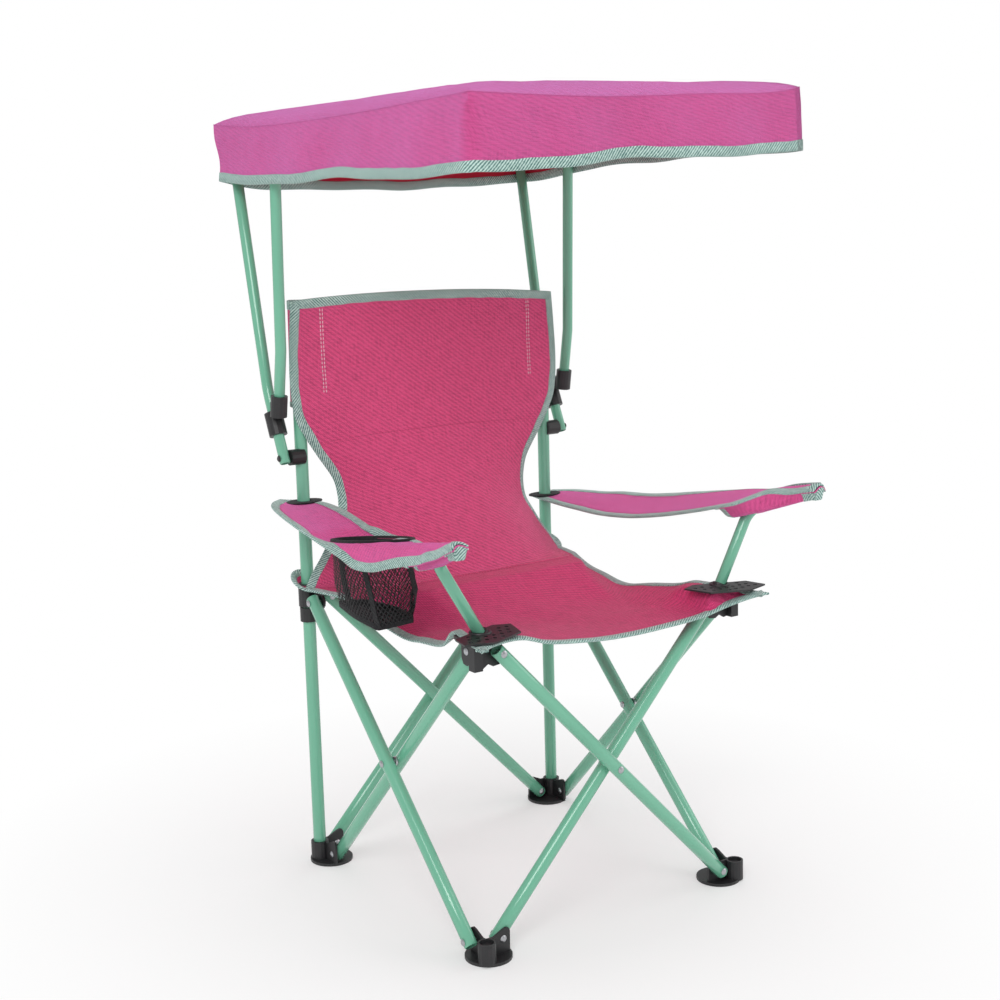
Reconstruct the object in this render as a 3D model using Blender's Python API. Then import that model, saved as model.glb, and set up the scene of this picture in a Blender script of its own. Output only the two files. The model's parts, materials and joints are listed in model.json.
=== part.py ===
"""Kids folding chair with a canopy: crossed-tube frame, sling seat and back, arm panels and a sun canopy.

Metres, +Z up, the floor at z = 0, the sitter faces -Y and x = 0 is the middle of the chair.
Left is -X. The frame stands open, as it does in use.
The sizes below are laid out with y = 0 midway between the front and rear pairs; the last step centres the outline.
"""

import math

import bpy
import bmesh
from mathutils import Matrix, Vector

# Crossed tubes and the planes that they fold in.
TUBE_RADIUS = 0.0065
TUBE_WALL = 0.0012
TUBE_SIDES = 14
ARM_REACH = 0.1873
OPEN_ANGLE = math.radians(45.9)
POST_LEAN = math.radians(1.0)
END_PAST_PIN = 0.0055
SIDE_PLANE_X = 0.1495
REAR_PLANE_Y = 0.1525
FRONT_PLANE_Y = -0.1475
REAR_PIN_HEIGHT = 0.0120
WEB_THICKNESS = 0.0024
CLEARANCE = 0.0003

# Rear posts.
POST_OUTBOARD = 0.0030
POST_FOOT_Y = 0.149
POST_TOP_HEIGHT = 0.5775

# Feet.
FOOT_DISC_RADIUS = 0.022
FOOT_DISC_THICKNESS = 0.003
FOOT_DISC_SIDES = 26
FOOT_DISC_INSET_X = 0.0105
REAR_DISC_INSET_Y = 0.0050
FRONT_DISC_INSET_Y = 0.0128
FRONT_SOCKET_FORWARD = 0.0065
FRONT_SOCKET_RADIUS = 0.0085
FRONT_SOCKET_HOLE_DEPTH = 0.0030
REAR_SOCKET_RADIUS = 0.0092
SOCKET_HEIGHT = 0.0215
SOCKET_SIDES = 16
WEB_PAST_PIN = 0.0075
WEB_PEAK_HEIGHT = 0.0265
FOOT_WEB_SHARES = (
    (0.0, 0.0), (1.0, 0.0), (1.0, 0.86), (0.95, 0.97), (0.87, 1.0), (0.74, 0.96), (0.40, 0.78), (0.0, 0.78),
)

# Sliders on the rear posts and the stop rings below them.
COLLAR_RADIUS = 0.0098
COLLAR_BELOW_PIN = 0.0077
COLLAR_ABOVE_PIN = 0.0113
SLIDER_WEB_HALF_HEIGHT = 0.0075
ROUND_END_STEPS = 6
RING_RADIUS = 0.0090
RING_HEIGHT = 0.0145
RING_GAP = 0.0014

# Front hubs under the seat corners.
HUB_FLANGE_RISE = 0.0107
HUB_FLANGE_THICKNESS = 0.003
HUB_FLANGE_INNER_REACH = 0.0265
HUB_FLANGE_OUTER_REACH = 0.0085
HUB_FLANGE_CORNER = 0.005
HUB_WEB_DROP = 0.0138
HUB_WEB_SHARES = (
    (0.0, 1.0), (0.0, 0.04), (0.20, 0.0), (0.42, 0.14), (0.62, 0.03), (0.88, 0.06), (1.0, 0.25), (1.0, 1.0),
)
HUB_BLOCK_REACH = 0.0078
ARM_BOSS_RADIUS = 0.0076
ARM_BOSS_LENGTH = 0.0090
ARM_BOSS_FLOOR = 0.0050
ARM_BOSS_SIDES = 16

# Arm posts.
ARM_TUBE_RADIUS = 0.0055
ARM_TUBE_WALL = 0.0010
ARM_TUBE_SIDES = 10
ARM_BASE_X = 0.139
ARM_BASE_Y = -0.139
ARM_BEND_X = 0.1856
ARM_BEND_Y = -0.1355
ARM_BEND_HEIGHT = 0.374
ARM_TIP_X = 0.2076
ARM_TIP_Y = -0.200
ARM_TIP_HEIGHT = 0.397
ARM_BEND_RADIUS = 0.022
BEND_STEPS = 4

# Rivets.
RIVET_RADIUS = 0.0020
RIVET_HEAD_RADIUS = 0.0036
RIVET_HEAD_HEIGHT = 0.0012
RIVET_SIDES = 8
RIVET_CROWN_SHARE = 0.6
SPACER_RADIUS = 0.0045

# Canopy frame: brackets, arms and connectors.
BRACKET_HEIGHT = 0.4275
BRACKET_RADIUS = 0.0080
BRACKET_SIDES = 16
CANOPY_PIVOT_Y = 0.153
REAR_ARM_X = 0.174
REAR_ARM_KNEE_Y = 0.1815
REAR_ARM_KNEE_RISE = 0.0645
REAR_ARM_TIP_X = 0.177
REAR_ARM_TIP_Y = 0.2310
REAR_ARM_BEND_RADIUS = 0.090
FRONT_ARM_X = 0.178
FRONT_ARM_FOOT_RISE = 0.0450
FRONT_ARM_ELBOW_Y = 0.1435
FRONT_ARM_ELBOW_RISE = 0.1075
FRONT_ARM_TOP_Y = 0.140
FRONT_ARM_TIP_Y = -0.190
FRONT_ARM_BEND_RADIUS = 0.030
ARM_BELOW_SEAM = 0.0071
CONNECTOR_SLEEVE_RADIUS = 0.0092
CONNECTOR_SLEEVE_LENGTH = 0.024
CONNECTOR_RISE = 0.0330
CONNECTOR_SOCKET_RADIUS = 0.0084
CONNECTOR_SOCKET_LENGTH = 0.0210
CONNECTOR_SOCKET_FLOOR = 0.0025
CONNECTOR_WEB_THICKNESS = 0.0070
CONNECTOR_WEB_HEIGHT = 0.0130

# Cloth.
CLOTH = 0.0016
SEWN_GAP = 0.0005

# Canopy cover.
CANOPY_HALF_WIDTH = 0.1850
CANOPY_FRONT_Y = -0.200
CANOPY_REAR_Y = 0.2205
CANOPY_EAR_REACH = 0.0235
CANOPY_FRONT_EAR_REACH = 0.004
CANOPY_SEAM_REAR_HEIGHT = 0.7475
CANOPY_SEAM_FRONT_HEIGHT = 0.7605
CANOPY_CROWN = 0.030
SKIRT_DROP = 0.057
SKIRT_FLARE = 0.004
SKIRT_WAVE = 0.0015
SKIRT_EDGE_WAVE = 0.0020
SKIRT_WAVES = 10
CANOPY_EDGE_POINTS = 12
CANOPY_RING_SHARES = (0.12, 0.34, 0.56, 0.76, 0.91, 0.975)
SKIRT_LEVEL_SHARES = (0.0, 0.12, 0.5, 1.0)
EAR_POWER = 2.5
CROWN_POWER = 0.8

# Backrest. The rows of shares give, from the seat seam up: height from the seam to the top, half width, and how far
# the side edge and the middle have gone from the seam's middle to the back's middle at the top.
BACK_TOP_HEIGHT = 0.5815
BACK_HALF_WIDTH = 0.1650
BACK_MIDDLE_TOP_Y = 0.1495
BACK_STATION_SHARES = (
    (0.018, 0.910, 0.958, 0.120),
    (0.067, 0.842, 0.970, 0.231),
    (0.127, 0.779, 0.975, 0.382),
    (0.181, 0.721, 0.980, 0.503),
    (0.235, 0.706, 0.985, 0.603),
    (0.289, 0.709, 0.985, 0.683),
    (0.353, 0.739, 0.985, 0.754),
    (0.441, 0.839, 0.988, 0.839),
    (0.506, 0.909, 0.992, 0.900),
    (0.578, 0.976, 1.000, 0.940),
)
SLEEVE_WIDTH_SHARES = (0.994, 1.0, 0.997, 0.985, 0.970)
BACK_COLUMNS = 12
BACK_BOTTOM_MIDDLE_RISE = 0.0100
BACK_SEAM_LIFT = 0.0022
BACK_SEAM_SHARE = 0.86
SLEEVE_HEIGHT = 0.095
SLEEVE_CAP = 0.0016
SLEEVE_SIDES = 16

# Seat.
SEAT_CORNER_X = 0.174
SEAT_FRONT_Y = -0.152
SEAT_CORNER_FORWARD = 0.031
SEAT_FRONT_MIDDLE_HEIGHT = 0.279
SEAT_TAB_X = 0.1740
SEAT_TAB_Y = 0.1680
SEAT_SEAM_Y = 0.050
SEAT_SEAM_HEIGHT = 0.305
SEAT_EDGE_SAG = 0.028
SEAT_MIDDLE_SAG = 0.010
SEAT_COLUMNS = 18
SEAT_ROWS = 14
SEAT_NECK_SHARE = 0.16
SEAT_FLAT_SHARES = (0.25, 0.86)
SEAT_SEAM_SHARE = 0.66
SEAT_FRONT_RISE_SHARE = 0.66
PLATE_THICKNESS = 0.0015
PLATE_LIFT = 0.0014
PLATE_SPAN = 0.074
PLATE_CORNER_SHARES = ((-0.47, 0.11), (-0.26, 0.24), (0.46, 0.03), (0.53, -0.36), (0.15, -0.47), (-0.35, -0.27))

# Arm panels. The rows of shares give, from the front: the way to the rear end, and how much of the drop from the
# front end to the rear end is done there, on the left panel and on the right one.
PANEL_INNER_X = 0.1440
PANEL_OUTER_X = 0.2170
PANEL_FRONT_Y = -0.200
PANEL_REAR_Y = 0.170
PANEL_ABOVE_ARM_TIP = 0.0075
PANEL_LEFT_BELOW_BRACKET = 0.0485
PANEL_RIGHT_BELOW_BRACKET = 0.0745
PANEL_STATION_SHARES = (
    (0.0, 0.0, 0.0),
    (0.095, 0.39, 0.0),
    (0.176, 0.78, 0.0),
    (0.270, 1.29, 0.19),
    (0.324, 1.43, 0.31),
    (0.405, 1.43, 0.64),
    (0.568, 1.43, 0.93),
    (0.649, 1.43, 1.11),
    (0.784, 1.25, 1.09),
    (0.878, 1.06, 1.03),
    (1.0, 1.0, 1.0),
)
PANEL_WIDTH_SHARES = (0.30, 0.60, 0.85, 1.0, 1.0, 1.0, 1.0, 1.0, 0.95, 0.80, 0.42)
PANEL_COLUMNS = 8
POCKET_LENGTH = 0.040
POCKET_END_CAP = 0.0016

# Cup bag in the left arm panel.
CUP_CENTRE_X = 0.1805
CUP_CENTRE_Y = -0.0200
CUP_HALF_LENGTH = 0.0520
CUP_HALF_WIDTH = 0.0270
CUP_RIM_WIDTH = 0.0045
CUP_RIM_HEIGHT = 0.0015
CUP_BOTTOM_HEIGHT = 0.288
CUP_SIDES = 20
CUP_LEVEL_SHARES = ((1.0, 1.0), (0.7, 0.98), (0.35, 0.93), (0.10, 0.82), (0.0, 0.60))

SHARP_ANGLE = math.radians(38)
LEFT = -1
RIGHT = 1
SIDE_NAMES = {LEFT: "left", RIGHT: "right"}

MINT = (0.150, 0.440, 0.300, 1.0)
PINK = (0.560, 0.055, 0.170, 1.0)
MAGENTA = (0.640, 0.110, 0.340, 1.0)
BLACK = (0.018, 0.018, 0.020, 1.0)
STEEL = (0.620, 0.620, 0.630, 1.0)

UP = Vector((0, math.sin(POST_LEAN), math.cos(POST_LEAN)))
BACKWARD = Vector((0, math.cos(POST_LEAN), -math.sin(POST_LEAN)))
ACROSS = Vector((1, 0, 0))
POST_X = SIDE_PLANE_X + POST_OUTBOARD
PANEL_FRONT_HEIGHT = ARM_TIP_HEIGHT + PANEL_ABOVE_ARM_TIP
TUBE_OFFSET = TUBE_RADIUS + WEB_THICKNESS / 2 + CLEARANCE
CONNECTOR_SHARE = CONNECTOR_RISE / REAR_ARM_KNEE_RISE


def clear_scene():
    for obj in list(bpy.data.objects):
        bpy.data.objects.remove(obj, do_unlink=True)


def principled(name, colour, roughness, metallic):
    found = bpy.data.materials.get(name)
    if found:
        return found
    made = bpy.data.materials.new(name)
    made.use_nodes = True
    shader = made.node_tree.nodes["Principled BSDF"]
    shader.inputs["Base Color"].default_value = colour
    shader.inputs["Roughness"].default_value = roughness
    shader.inputs["Metallic"].default_value = metallic
    made.diffuse_color = colour
    return made


def painted_tube():
    return principled("painted_steel_tube", MINT, 0.28, 0.0)


def black_plastic():
    return principled("black_plastic", BLACK, 0.5, 0.0)


def rivet_steel():
    return principled("rivet_steel", STEEL, 0.3, 1.0)


def sling_cloth():
    return principled("sling_cloth", PINK, 0.85, 0.0)


def canopy_cloth():
    return principled("canopy_cloth", MAGENTA, 0.8, 0.0)


def cup_mesh():
    return principled("cup_mesh", BLACK, 0.8, 0.0)


def slope_y(base_y, height):
    """y at a height, of a plane or post that leans back with the rear posts."""
    return base_y + height * math.tan(POST_LEAN)


def post_point(side, height):
    return Vector((side * POST_X, slope_y(POST_FOOT_Y, height), height))


def scissor_centre():
    """Middle pivot of the two side pairs, in the x = 0 plane."""
    rise = math.cos(OPEN_ANGLE) * math.sin(POST_LEAN) + math.sin(OPEN_ANGLE) * math.cos(POST_LEAN)
    return Vector((0, 0, REAR_PIN_HEIGHT + ARM_REACH * rise))


def side_pin(place):
    """Pin of a side pair, in the x = 0 plane: foot_rear, slider, foot_front, hub or centre."""
    centre = scissor_centre()
    along = math.cos(OPEN_ANGLE) * BACKWARD
    lift = math.sin(OPEN_ANGLE) * UP
    places = {
        "centre": centre,
        "foot_rear": centre + ARM_REACH * (along - lift),
        "slider": centre + ARM_REACH * (along + lift),
        "foot_front": centre - ARM_REACH * (along + lift),
        "hub": centre - ARM_REACH * (along - lift),
    }
    return places[place]


def cross_pin(row, level, side):
    """Pin of the rear or front pair, in its plane: level 0 at the foot, 1 at the top and 0.5 at the middle pivot."""
    base_y = REAR_PLANE_Y if row == "rear" else FRONT_PLANE_Y
    height = side_pin("foot_rear").z if row == "rear" else side_pin("foot_front").z
    start = Vector((0, slope_y(base_y, height), height))
    return start + side * ARM_REACH * math.cos(OPEN_ANGLE) * ACROSS + 2 * level * ARM_REACH * math.sin(OPEN_ANGLE) * UP


def side_point(place, x):
    return side_pin(place) + x * ACROSS


def frame_for(direction):
    """Two unit vectors that stand square to a direction."""
    direction = direction.normalized()
    helper = Vector((0, 0, 1)) if abs(direction.z) < abs(direction.y) + abs(direction.x) else Vector((0, 1, 0))
    first = direction.cross(helper).normalized()
    return first, direction.cross(first).normalized()


def ring(centre, first, second, radius, sides):
    points = []
    for index in range(sides):
        turn = 2 * math.pi * index / sides
        points.append(centre + radius * (math.cos(turn) * first + math.sin(turn) * second))
    return points


def loft(rings, closed):
    """Faces between equal rings, with end caps, or joined end to start when closed."""
    sides = len(rings[0])
    vertices = [point for one in rings for point in one]
    faces = []
    spans = len(rings) if closed else len(rings) - 1
    for level in range(spans):
        low = level * sides
        high = ((level + 1) % len(rings)) * sides
        for index in range(sides):
            following = (index + 1) % sides
            faces.append((low + index, low + following, high + following, high + index))
    if not closed:
        faces.append(tuple(range(sides)))
        faces.append(tuple(range((len(rings) - 1) * sides, len(rings) * sides)))
    return vertices, faces


def solid(name, shape, material, origin=None):
    """Object from vertices and faces, its origin at a joint where one is given."""
    vertices, faces = shape
    base = origin if origin is not None else Vector((0, 0, 0))
    mesh = bpy.data.meshes.new(name)
    mesh.from_pydata([point - base for point in vertices], [], faces)
    work = bmesh.new()
    work.from_mesh(mesh)
    bmesh.ops.recalc_face_normals(work, faces=work.faces)
    work.to_mesh(mesh)
    work.free()
    made = bpy.data.objects.new(name, mesh)
    made.location = base
    bpy.context.scene.collection.objects.link(made)
    mesh.materials.append(material)
    return made


def rod_shape(start, end, radius, sides):
    first, second = frame_for(end - start)
    return loft([ring(start, first, second, radius, sides), ring(end, first, second, radius, sides)], False)


def turned_shape(start, direction, stations, sides):
    """Round solid on an axis, from (distance, radius) stations."""
    direction = direction.normalized()
    first, second = frame_for(direction)
    rings = [ring(start + distance * direction, first, second, radius, sides) for distance, radius in stations]
    return loft(rings, False)


def path_rings(points, radius, sides):
    """Rings along a path, each square to the bend there, without twist."""
    first, second = frame_for(points[1] - points[0])
    rings = []
    for index, point in enumerate(points):
        before = (point - points[max(index - 1, 0)]).normalized()
        after = (points[min(index + 1, len(points) - 1)] - point).normalized()
        tangent = (before + after).normalized()
        first = (first - first.dot(tangent) * tangent).normalized()
        second = tangent.cross(first).normalized()
        rings.append(ring(point, first, second, radius, sides))
    return rings


def pipe_shape(points, radius, wall, sides):
    outer = path_rings(points, radius, sides)
    inner = path_rings(points, radius - wall, sides)
    return loft(outer + inner[::-1], True)


def rounded_path(corners, radius):
    """Corner points joined by straight runs, each inner corner turned with the bend radius."""
    points = [corners[0]]
    for index in range(1, len(corners) - 1):
        corner = corners[index]
        back = (corners[index - 1] - corner).normalized()
        ahead = (corners[index + 1] - corner).normalized()
        half = back.angle(ahead) / 2
        reach = radius / math.tan(half)
        middle = corner + (back + ahead).normalized() * (radius / math.sin(half))
        start = (corner + reach * back - middle).normalized()
        end = (corner + reach * ahead - middle).normalized()
        for step in range(BEND_STEPS + 1):
            points.append(middle + radius * start.slerp(end, step / BEND_STEPS))
    points.append(corners[-1])
    return points


def plate_shape(outline, normal, thickness):
    """Flat plate: an outline of points, thickened equally to both sides of its plane."""
    half = normal.normalized() * thickness / 2
    return loft([[point - half for point in outline], [point + half for point in outline]], False)


def sheet_shape(rows, thickness):
    """Closed solid round a grid of points in its middle surface."""
    count = len(rows)
    width = len(rows[0])
    upper = []
    lower = []
    for row in range(count):
        for column in range(width):
            point = rows[row][column]
            across = rows[row][min(column + 1, width - 1)] - rows[row][max(column - 1, 0)]
            along = rows[min(row + 1, count - 1)][column] - rows[max(row - 1, 0)][column]
            normal = across.cross(along).normalized() * thickness / 2
            upper.append(point + normal)
            lower.append(point - normal)
    total = count * width
    faces = []
    for row in range(count - 1):
        for column in range(width - 1):
            corner = row * width + column
            square = (corner, corner + 1, corner + width + 1, corner + width)
            faces.append(square)
            faces.append(tuple(index + total for index in reversed(square)))
    edge = list(range(width))
    edge += [row * width + width - 1 for row in range(1, count)]
    edge += [(count - 1) * width + column for column in range(width - 2, -1, -1)]
    edge += [row * width for row in range(count - 2, 0, -1)]
    for index, corner in enumerate(edge):
        following = edge[(index + 1) % len(edge)]
        faces.append((following, corner, corner + total, following + total))
    return upper + lower, faces


def combine(target, shapes, operation):
    """Join solids to the target, or cut them out of it, one after the other."""
    for shape in shapes:
        tool = solid("tool", shape, target.data.materials[0])
        tool.hide_render = True
        tool.display_type = "WIRE"
        step = target.modifiers.new("combine", "BOOLEAN")
        step.operation = operation
        step.solver = "EXACT"
        step.object = tool
        bpy.context.view_layer.update()
        evaluated = target.evaluated_get(bpy.context.evaluated_depsgraph_get())
        result = bpy.data.meshes.new_from_object(evaluated)
        target.modifiers.clear()
        target.data = result
        bpy.data.objects.remove(tool, do_unlink=True)
    return target


def join(target, shapes):
    return combine(target, shapes, "UNION")


def cut(target, shapes):
    return combine(target, shapes, "DIFFERENCE")


def pin_hole(point, direction, length):
    """Cutter for a rivet: a rod through the point, as long as given to both sides."""
    reach = direction.normalized() * length
    return rod_shape(point - reach, point + reach, RIVET_RADIUS + CLEARANCE, RIVET_SIDES)


def cross_tube(name, start_pin, end_pin, centre, direction, origin):
    """Straight frame tube from pin to pin, open at both ends, with a hole at each pin and at the middle pivot."""
    along = (end_pin - start_pin).normalized()
    points = [start_pin - END_PAST_PIN * along, end_pin + END_PAST_PIN * along]
    made = solid(name, pipe_shape(points, TUBE_RADIUS, TUBE_WALL, TUBE_SIDES), painted_tube(), origin)
    holes = [pin_hole(point, direction, 2 * TUBE_RADIUS) for point in (start_pin, centre, end_pin)]
    return cut(made, holes)


def rivet(name, start, end, spacer):
    """Rivet whose heads sit just outside start and end, with a spacer in the middle of a centre pivot."""
    direction = (end - start).normalized()
    length = (end - start).length
    crown = RIVET_HEAD_RADIUS * RIVET_CROWN_SHARE
    stations = [(-RIVET_HEAD_HEIGHT, crown), (0, RIVET_HEAD_RADIUS), (0, RIVET_RADIUS)]
    if spacer:
        half = WEB_THICKNESS / 2
        middle = length / 2
        stations += [(middle - half, RIVET_RADIUS), (middle - half, SPACER_RADIUS)]
        stations += [(middle + half, SPACER_RADIUS), (middle + half, RIVET_RADIUS)]
    stations += [(length, RIVET_RADIUS), (length, RIVET_HEAD_RADIUS), (length + RIVET_HEAD_HEIGHT, crown)]
    return solid(name, turned_shape(start, direction, stations, RIVET_SIDES), rivet_steel(), (start + end) / 2)


def end_rivet(name, web_point, direction):
    """Rivet of a tube end: direction points from the web to its tube."""
    direction = direction.normalized()
    head_out = TUBE_OFFSET + TUBE_RADIUS + CLEARANCE
    head_in = WEB_THICKNESS / 2 + CLEARANCE
    return rivet(name, web_point - head_in * direction, web_point + head_out * direction, False)


def centre_rivet(name, point, direction):
    reach = (TUBE_OFFSET + TUBE_RADIUS + CLEARANCE) * direction.normalized()
    return rivet(name, point - reach, point + reach, True)


def round_end_outline(start, end, half_height, lift):
    """Outline of a web from start to a rounded end about the pin, in the plane of the span and lift."""
    span = (end - start).normalized()
    outline = [start - half_height * lift, end - half_height * lift]
    for step in range(1, ROUND_END_STEPS):
        turn = math.pi * step / ROUND_END_STEPS
        outline.append(end + half_height * (math.sin(turn) * span - math.cos(turn) * lift))
    outline += [end + half_height * lift, start + half_height * lift]
    return outline


def foot_web(corner, pin, thickness):
    """Upright web of a foot: from the socket axis past the pin, standing in the disc."""
    span = Vector((pin.x - corner.x, pin.y - corner.y, 0))
    length = span.length + WEB_PAST_PIN
    span.normalize()
    floor = FOOT_DISC_THICKNESS / 2
    outline = []
    for reach, rise in FOOT_WEB_SHARES:
        height = floor + (WEB_PEAK_HEIGHT - floor) * rise
        outline.append(Vector((corner.x, corner.y, height)) + reach * length * span)
    return plate_shape(outline, span.cross(Vector((0, 0, 1))), thickness)


def make_foot(row, side, origin):
    """Foot: round base, corner socket and two webs, one in each folding plane."""
    rear = row == "rear"
    socket_y = POST_FOOT_Y if rear else FRONT_PLANE_Y - FRONT_SOCKET_FORWARD
    inset = REAR_DISC_INSET_Y if rear else -FRONT_DISC_INSET_Y
    centre = Vector((side * (POST_X - FOOT_DISC_INSET_X), socket_y - inset, 0))
    radius = REAR_SOCKET_RADIUS if rear else FRONT_SOCKET_RADIUS
    disc = rod_shape(centre, centre + Vector((0, 0, FOOT_DISC_THICKNESS)), FOOT_DISC_RADIUS, FOOT_DISC_SIDES)
    made = solid(f"foot_{row}_{SIDE_NAMES[side]}", disc, black_plastic(), origin)
    base = Vector((side * POST_X, slope_y(socket_y, FOOT_DISC_THICKNESS / 2), FOOT_DISC_THICKNESS / 2))
    top = base + (SOCKET_HEIGHT - FOOT_DISC_THICKNESS / 2) * UP
    side_corner = Vector((side * SIDE_PLANE_X, socket_y, 0))
    plane_y = REAR_PLANE_Y if rear else FRONT_PLANE_Y
    cross_corner = Vector((side * POST_X, plane_y, 0))
    long_pin = side_point(f"foot_{row}", side * SIDE_PLANE_X)
    cross = cross_pin(row, 0, side)
    join(made, [
        rod_shape(base, top, radius, SOCKET_SIDES),
        foot_web(side_corner, long_pin, WEB_THICKNESS),
        foot_web(cross_corner, cross, WEB_THICKNESS),
    ])
    depth = SOCKET_HEIGHT - FOOT_DISC_THICKNESS if rear else FRONT_SOCKET_HOLE_DEPTH
    bore = TUBE_RADIUS + CLEARANCE
    cut(made, [
        rod_shape(top - depth * UP, top + depth * UP, bore, TUBE_SIDES),
        pin_hole(long_pin, ACROSS, WEB_THICKNESS),
        pin_hole(cross, BACKWARD, WEB_THICKNESS),
    ])
    return made


def make_post(side):
    bottom = post_point(side, FOOT_DISC_THICKNESS + CLEARANCE)
    top = post_point(side, POST_TOP_HEIGHT)
    return solid(f"rear_post_{SIDE_NAMES[side]}", pipe_shape([bottom, top], TUBE_RADIUS, TUBE_WALL, TUBE_SIDES),
                 painted_tube(), bottom)


def make_slider(side, origin):
    """Slider: collar round the post, with a web to the side pair and one to the rear pair."""
    pin_height = side_pin("slider").z
    low = post_point(side, pin_height - COLLAR_BELOW_PIN)
    high = post_point(side, pin_height + COLLAR_ABOVE_PIN)
    made = solid(f"slider_{SIDE_NAMES[side]}", rod_shape(low, high, COLLAR_RADIUS, SOCKET_SIDES),
                 black_plastic(), origin)
    long_pin = side_point("slider", side * SIDE_PLANE_X)
    cross = cross_pin("rear", 1, side)
    post = post_point(side, pin_height)
    long_start = Vector((long_pin.x, post.y, long_pin.z))
    cross_start = Vector((post.x, cross.y, cross.z))
    half = SLIDER_WEB_HALF_HEIGHT
    join(made, [
        plate_shape(round_end_outline(long_start, long_pin, half, UP), ACROSS, WEB_THICKNESS),
        plate_shape(round_end_outline(cross_start, cross, half, UP), BACKWARD, WEB_THICKNESS),
    ])
    reach = COLLAR_ABOVE_PIN + COLLAR_BELOW_PIN
    cut(made, [
        rod_shape(low - reach * UP, high + reach * UP, TUBE_RADIUS + CLEARANCE, TUBE_SIDES),
        pin_hole(long_pin, ACROSS, WEB_THICKNESS),
        pin_hole(cross, BACKWARD, WEB_THICKNESS),
    ])
    return made


def make_stop_ring(side):
    top_height = side_pin("slider").z - COLLAR_BELOW_PIN - RING_GAP
    low = post_point(side, top_height - RING_HEIGHT)
    high = post_point(side, top_height)
    wall = RING_RADIUS - TUBE_RADIUS - CLEARANCE
    return solid(f"stop_ring_{SIDE_NAMES[side]}", pipe_shape([low, high], RING_RADIUS, wall, SOCKET_SIDES),
                 black_plastic(), low)


def arm_corners(side):
    """Axis of an arm post: bottom of its socket, bend and tip."""
    bend = Vector((side * ARM_BEND_X, ARM_BEND_Y, ARM_BEND_HEIGHT))
    flange = side_pin("hub").z + HUB_FLANGE_RISE
    base = Vector((side * ARM_BASE_X, ARM_BASE_Y, flange))
    rise = (bend - base).normalized()
    return base + ARM_BOSS_FLOOR * rise, bend, Vector((side * ARM_TIP_X, ARM_TIP_Y, ARM_TIP_HEIGHT))


def arm_base(side):
    return Vector((side * ARM_BASE_X, ARM_BASE_Y, side_pin("hub").z + HUB_FLANGE_RISE))


def arm_rise(side):
    return (arm_corners(side)[1] - arm_base(side)).normalized()


def hub_web(corner, pin, top):
    """Scalloped web of a hub, hanging from its flange."""
    span = Vector((pin.x - corner.x, pin.y - corner.y, 0))
    length = span.length + WEB_PAST_PIN
    span.normalize()
    bottom = pin.z - HUB_WEB_DROP
    outline = []
    for reach, rise in HUB_WEB_SHARES:
        height = bottom + (top - bottom) * rise
        point = corner + reach * length * span
        lean = (height - corner.z) * math.tan(POST_LEAN)
        outline.append(Vector((point.x, point.y + lean, height)))
    return plate_shape(outline, span.cross(UP), WEB_THICKNESS)


def hub_block(side, corner, top):
    """Block on the outer side of the two webs' corner, from their lower edge up to the flange."""
    half = WEB_THICKNESS / 2
    low = corner.z - HUB_WEB_DROP * (1 - HUB_WEB_SHARES[1][1])
    outline = []
    for out, ahead in ((-half, -half), (HUB_BLOCK_REACH, -half), (HUB_BLOCK_REACH, HUB_BLOCK_REACH),
                       (-half, HUB_BLOCK_REACH)):
        outline.append(Vector((corner.x + side * out, corner.y - ahead, low)))
    rise = (top - low) / math.cos(POST_LEAN) * UP
    return loft([outline, [point + rise for point in outline]], False)


def make_hub(side, origin):
    """Front hub: flange under the seat corner, two scalloped webs, an outer corner block and the arm post's boss."""
    long_pin = side_point("hub", side * SIDE_PLANE_X)
    cross = cross_pin("front", 1, side)
    flange_low = long_pin.z + HUB_FLANGE_RISE
    outer_x = side * (SIDE_PLANE_X + HUB_FLANGE_OUTER_REACH)
    inner_x = side * (SIDE_PLANE_X - HUB_FLANGE_INNER_REACH)
    corner_y = slope_y(FRONT_PLANE_Y, long_pin.z)
    front_y = corner_y - HUB_FLANGE_OUTER_REACH
    rear_y = corner_y + HUB_FLANGE_INNER_REACH
    middle = Vector(((outer_x + inner_x) / 2, (front_y + rear_y) / 2, flange_low))
    half_x = abs(outer_x - inner_x) / 2
    half_y = (rear_y - front_y) / 2
    outline = []
    for quarter, (sign_x, sign_y) in enumerate(((1, 1), (-1, 1), (-1, -1), (1, -1))):
        centre = middle + Vector((sign_x * (half_x - HUB_FLANGE_CORNER), sign_y * (half_y - HUB_FLANGE_CORNER), 0))
        for step in range(BEND_STEPS):
            turn = math.pi / 2 * (quarter + step / (BEND_STEPS - 1))
            outline.append(centre + HUB_FLANGE_CORNER * Vector((math.cos(turn), math.sin(turn), 0)))
    flange_rise = Vector((0, 0, HUB_FLANGE_THICKNESS))
    made = solid(f"hub_{SIDE_NAMES[side]}", loft([outline, [point + flange_rise for point in outline]], False),
                 black_plastic(), origin)
    top = flange_low + HUB_FLANGE_THICKNESS / 2
    corner = Vector((side * SIDE_PLANE_X, corner_y, long_pin.z))
    base = arm_base(side)
    rise = arm_rise(side)
    join(made, [
        hub_web(corner, long_pin, top),
        hub_web(corner, cross, top),
        hub_block(side, corner, top),
        rod_shape(base + HUB_FLANGE_THICKNESS / 2 * rise, base + ARM_BOSS_LENGTH * rise, ARM_BOSS_RADIUS,
                  ARM_BOSS_SIDES),
    ])
    cut(made, [
        rod_shape(base + (ARM_BOSS_FLOOR - CLEARANCE) * rise, base + 2 * ARM_BOSS_LENGTH * rise,
                  ARM_TUBE_RADIUS + CLEARANCE, ARM_TUBE_SIDES),
        pin_hole(long_pin, ACROSS, WEB_THICKNESS),
        pin_hole(cross, BACKWARD, WEB_THICKNESS),
    ])
    return made


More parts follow.
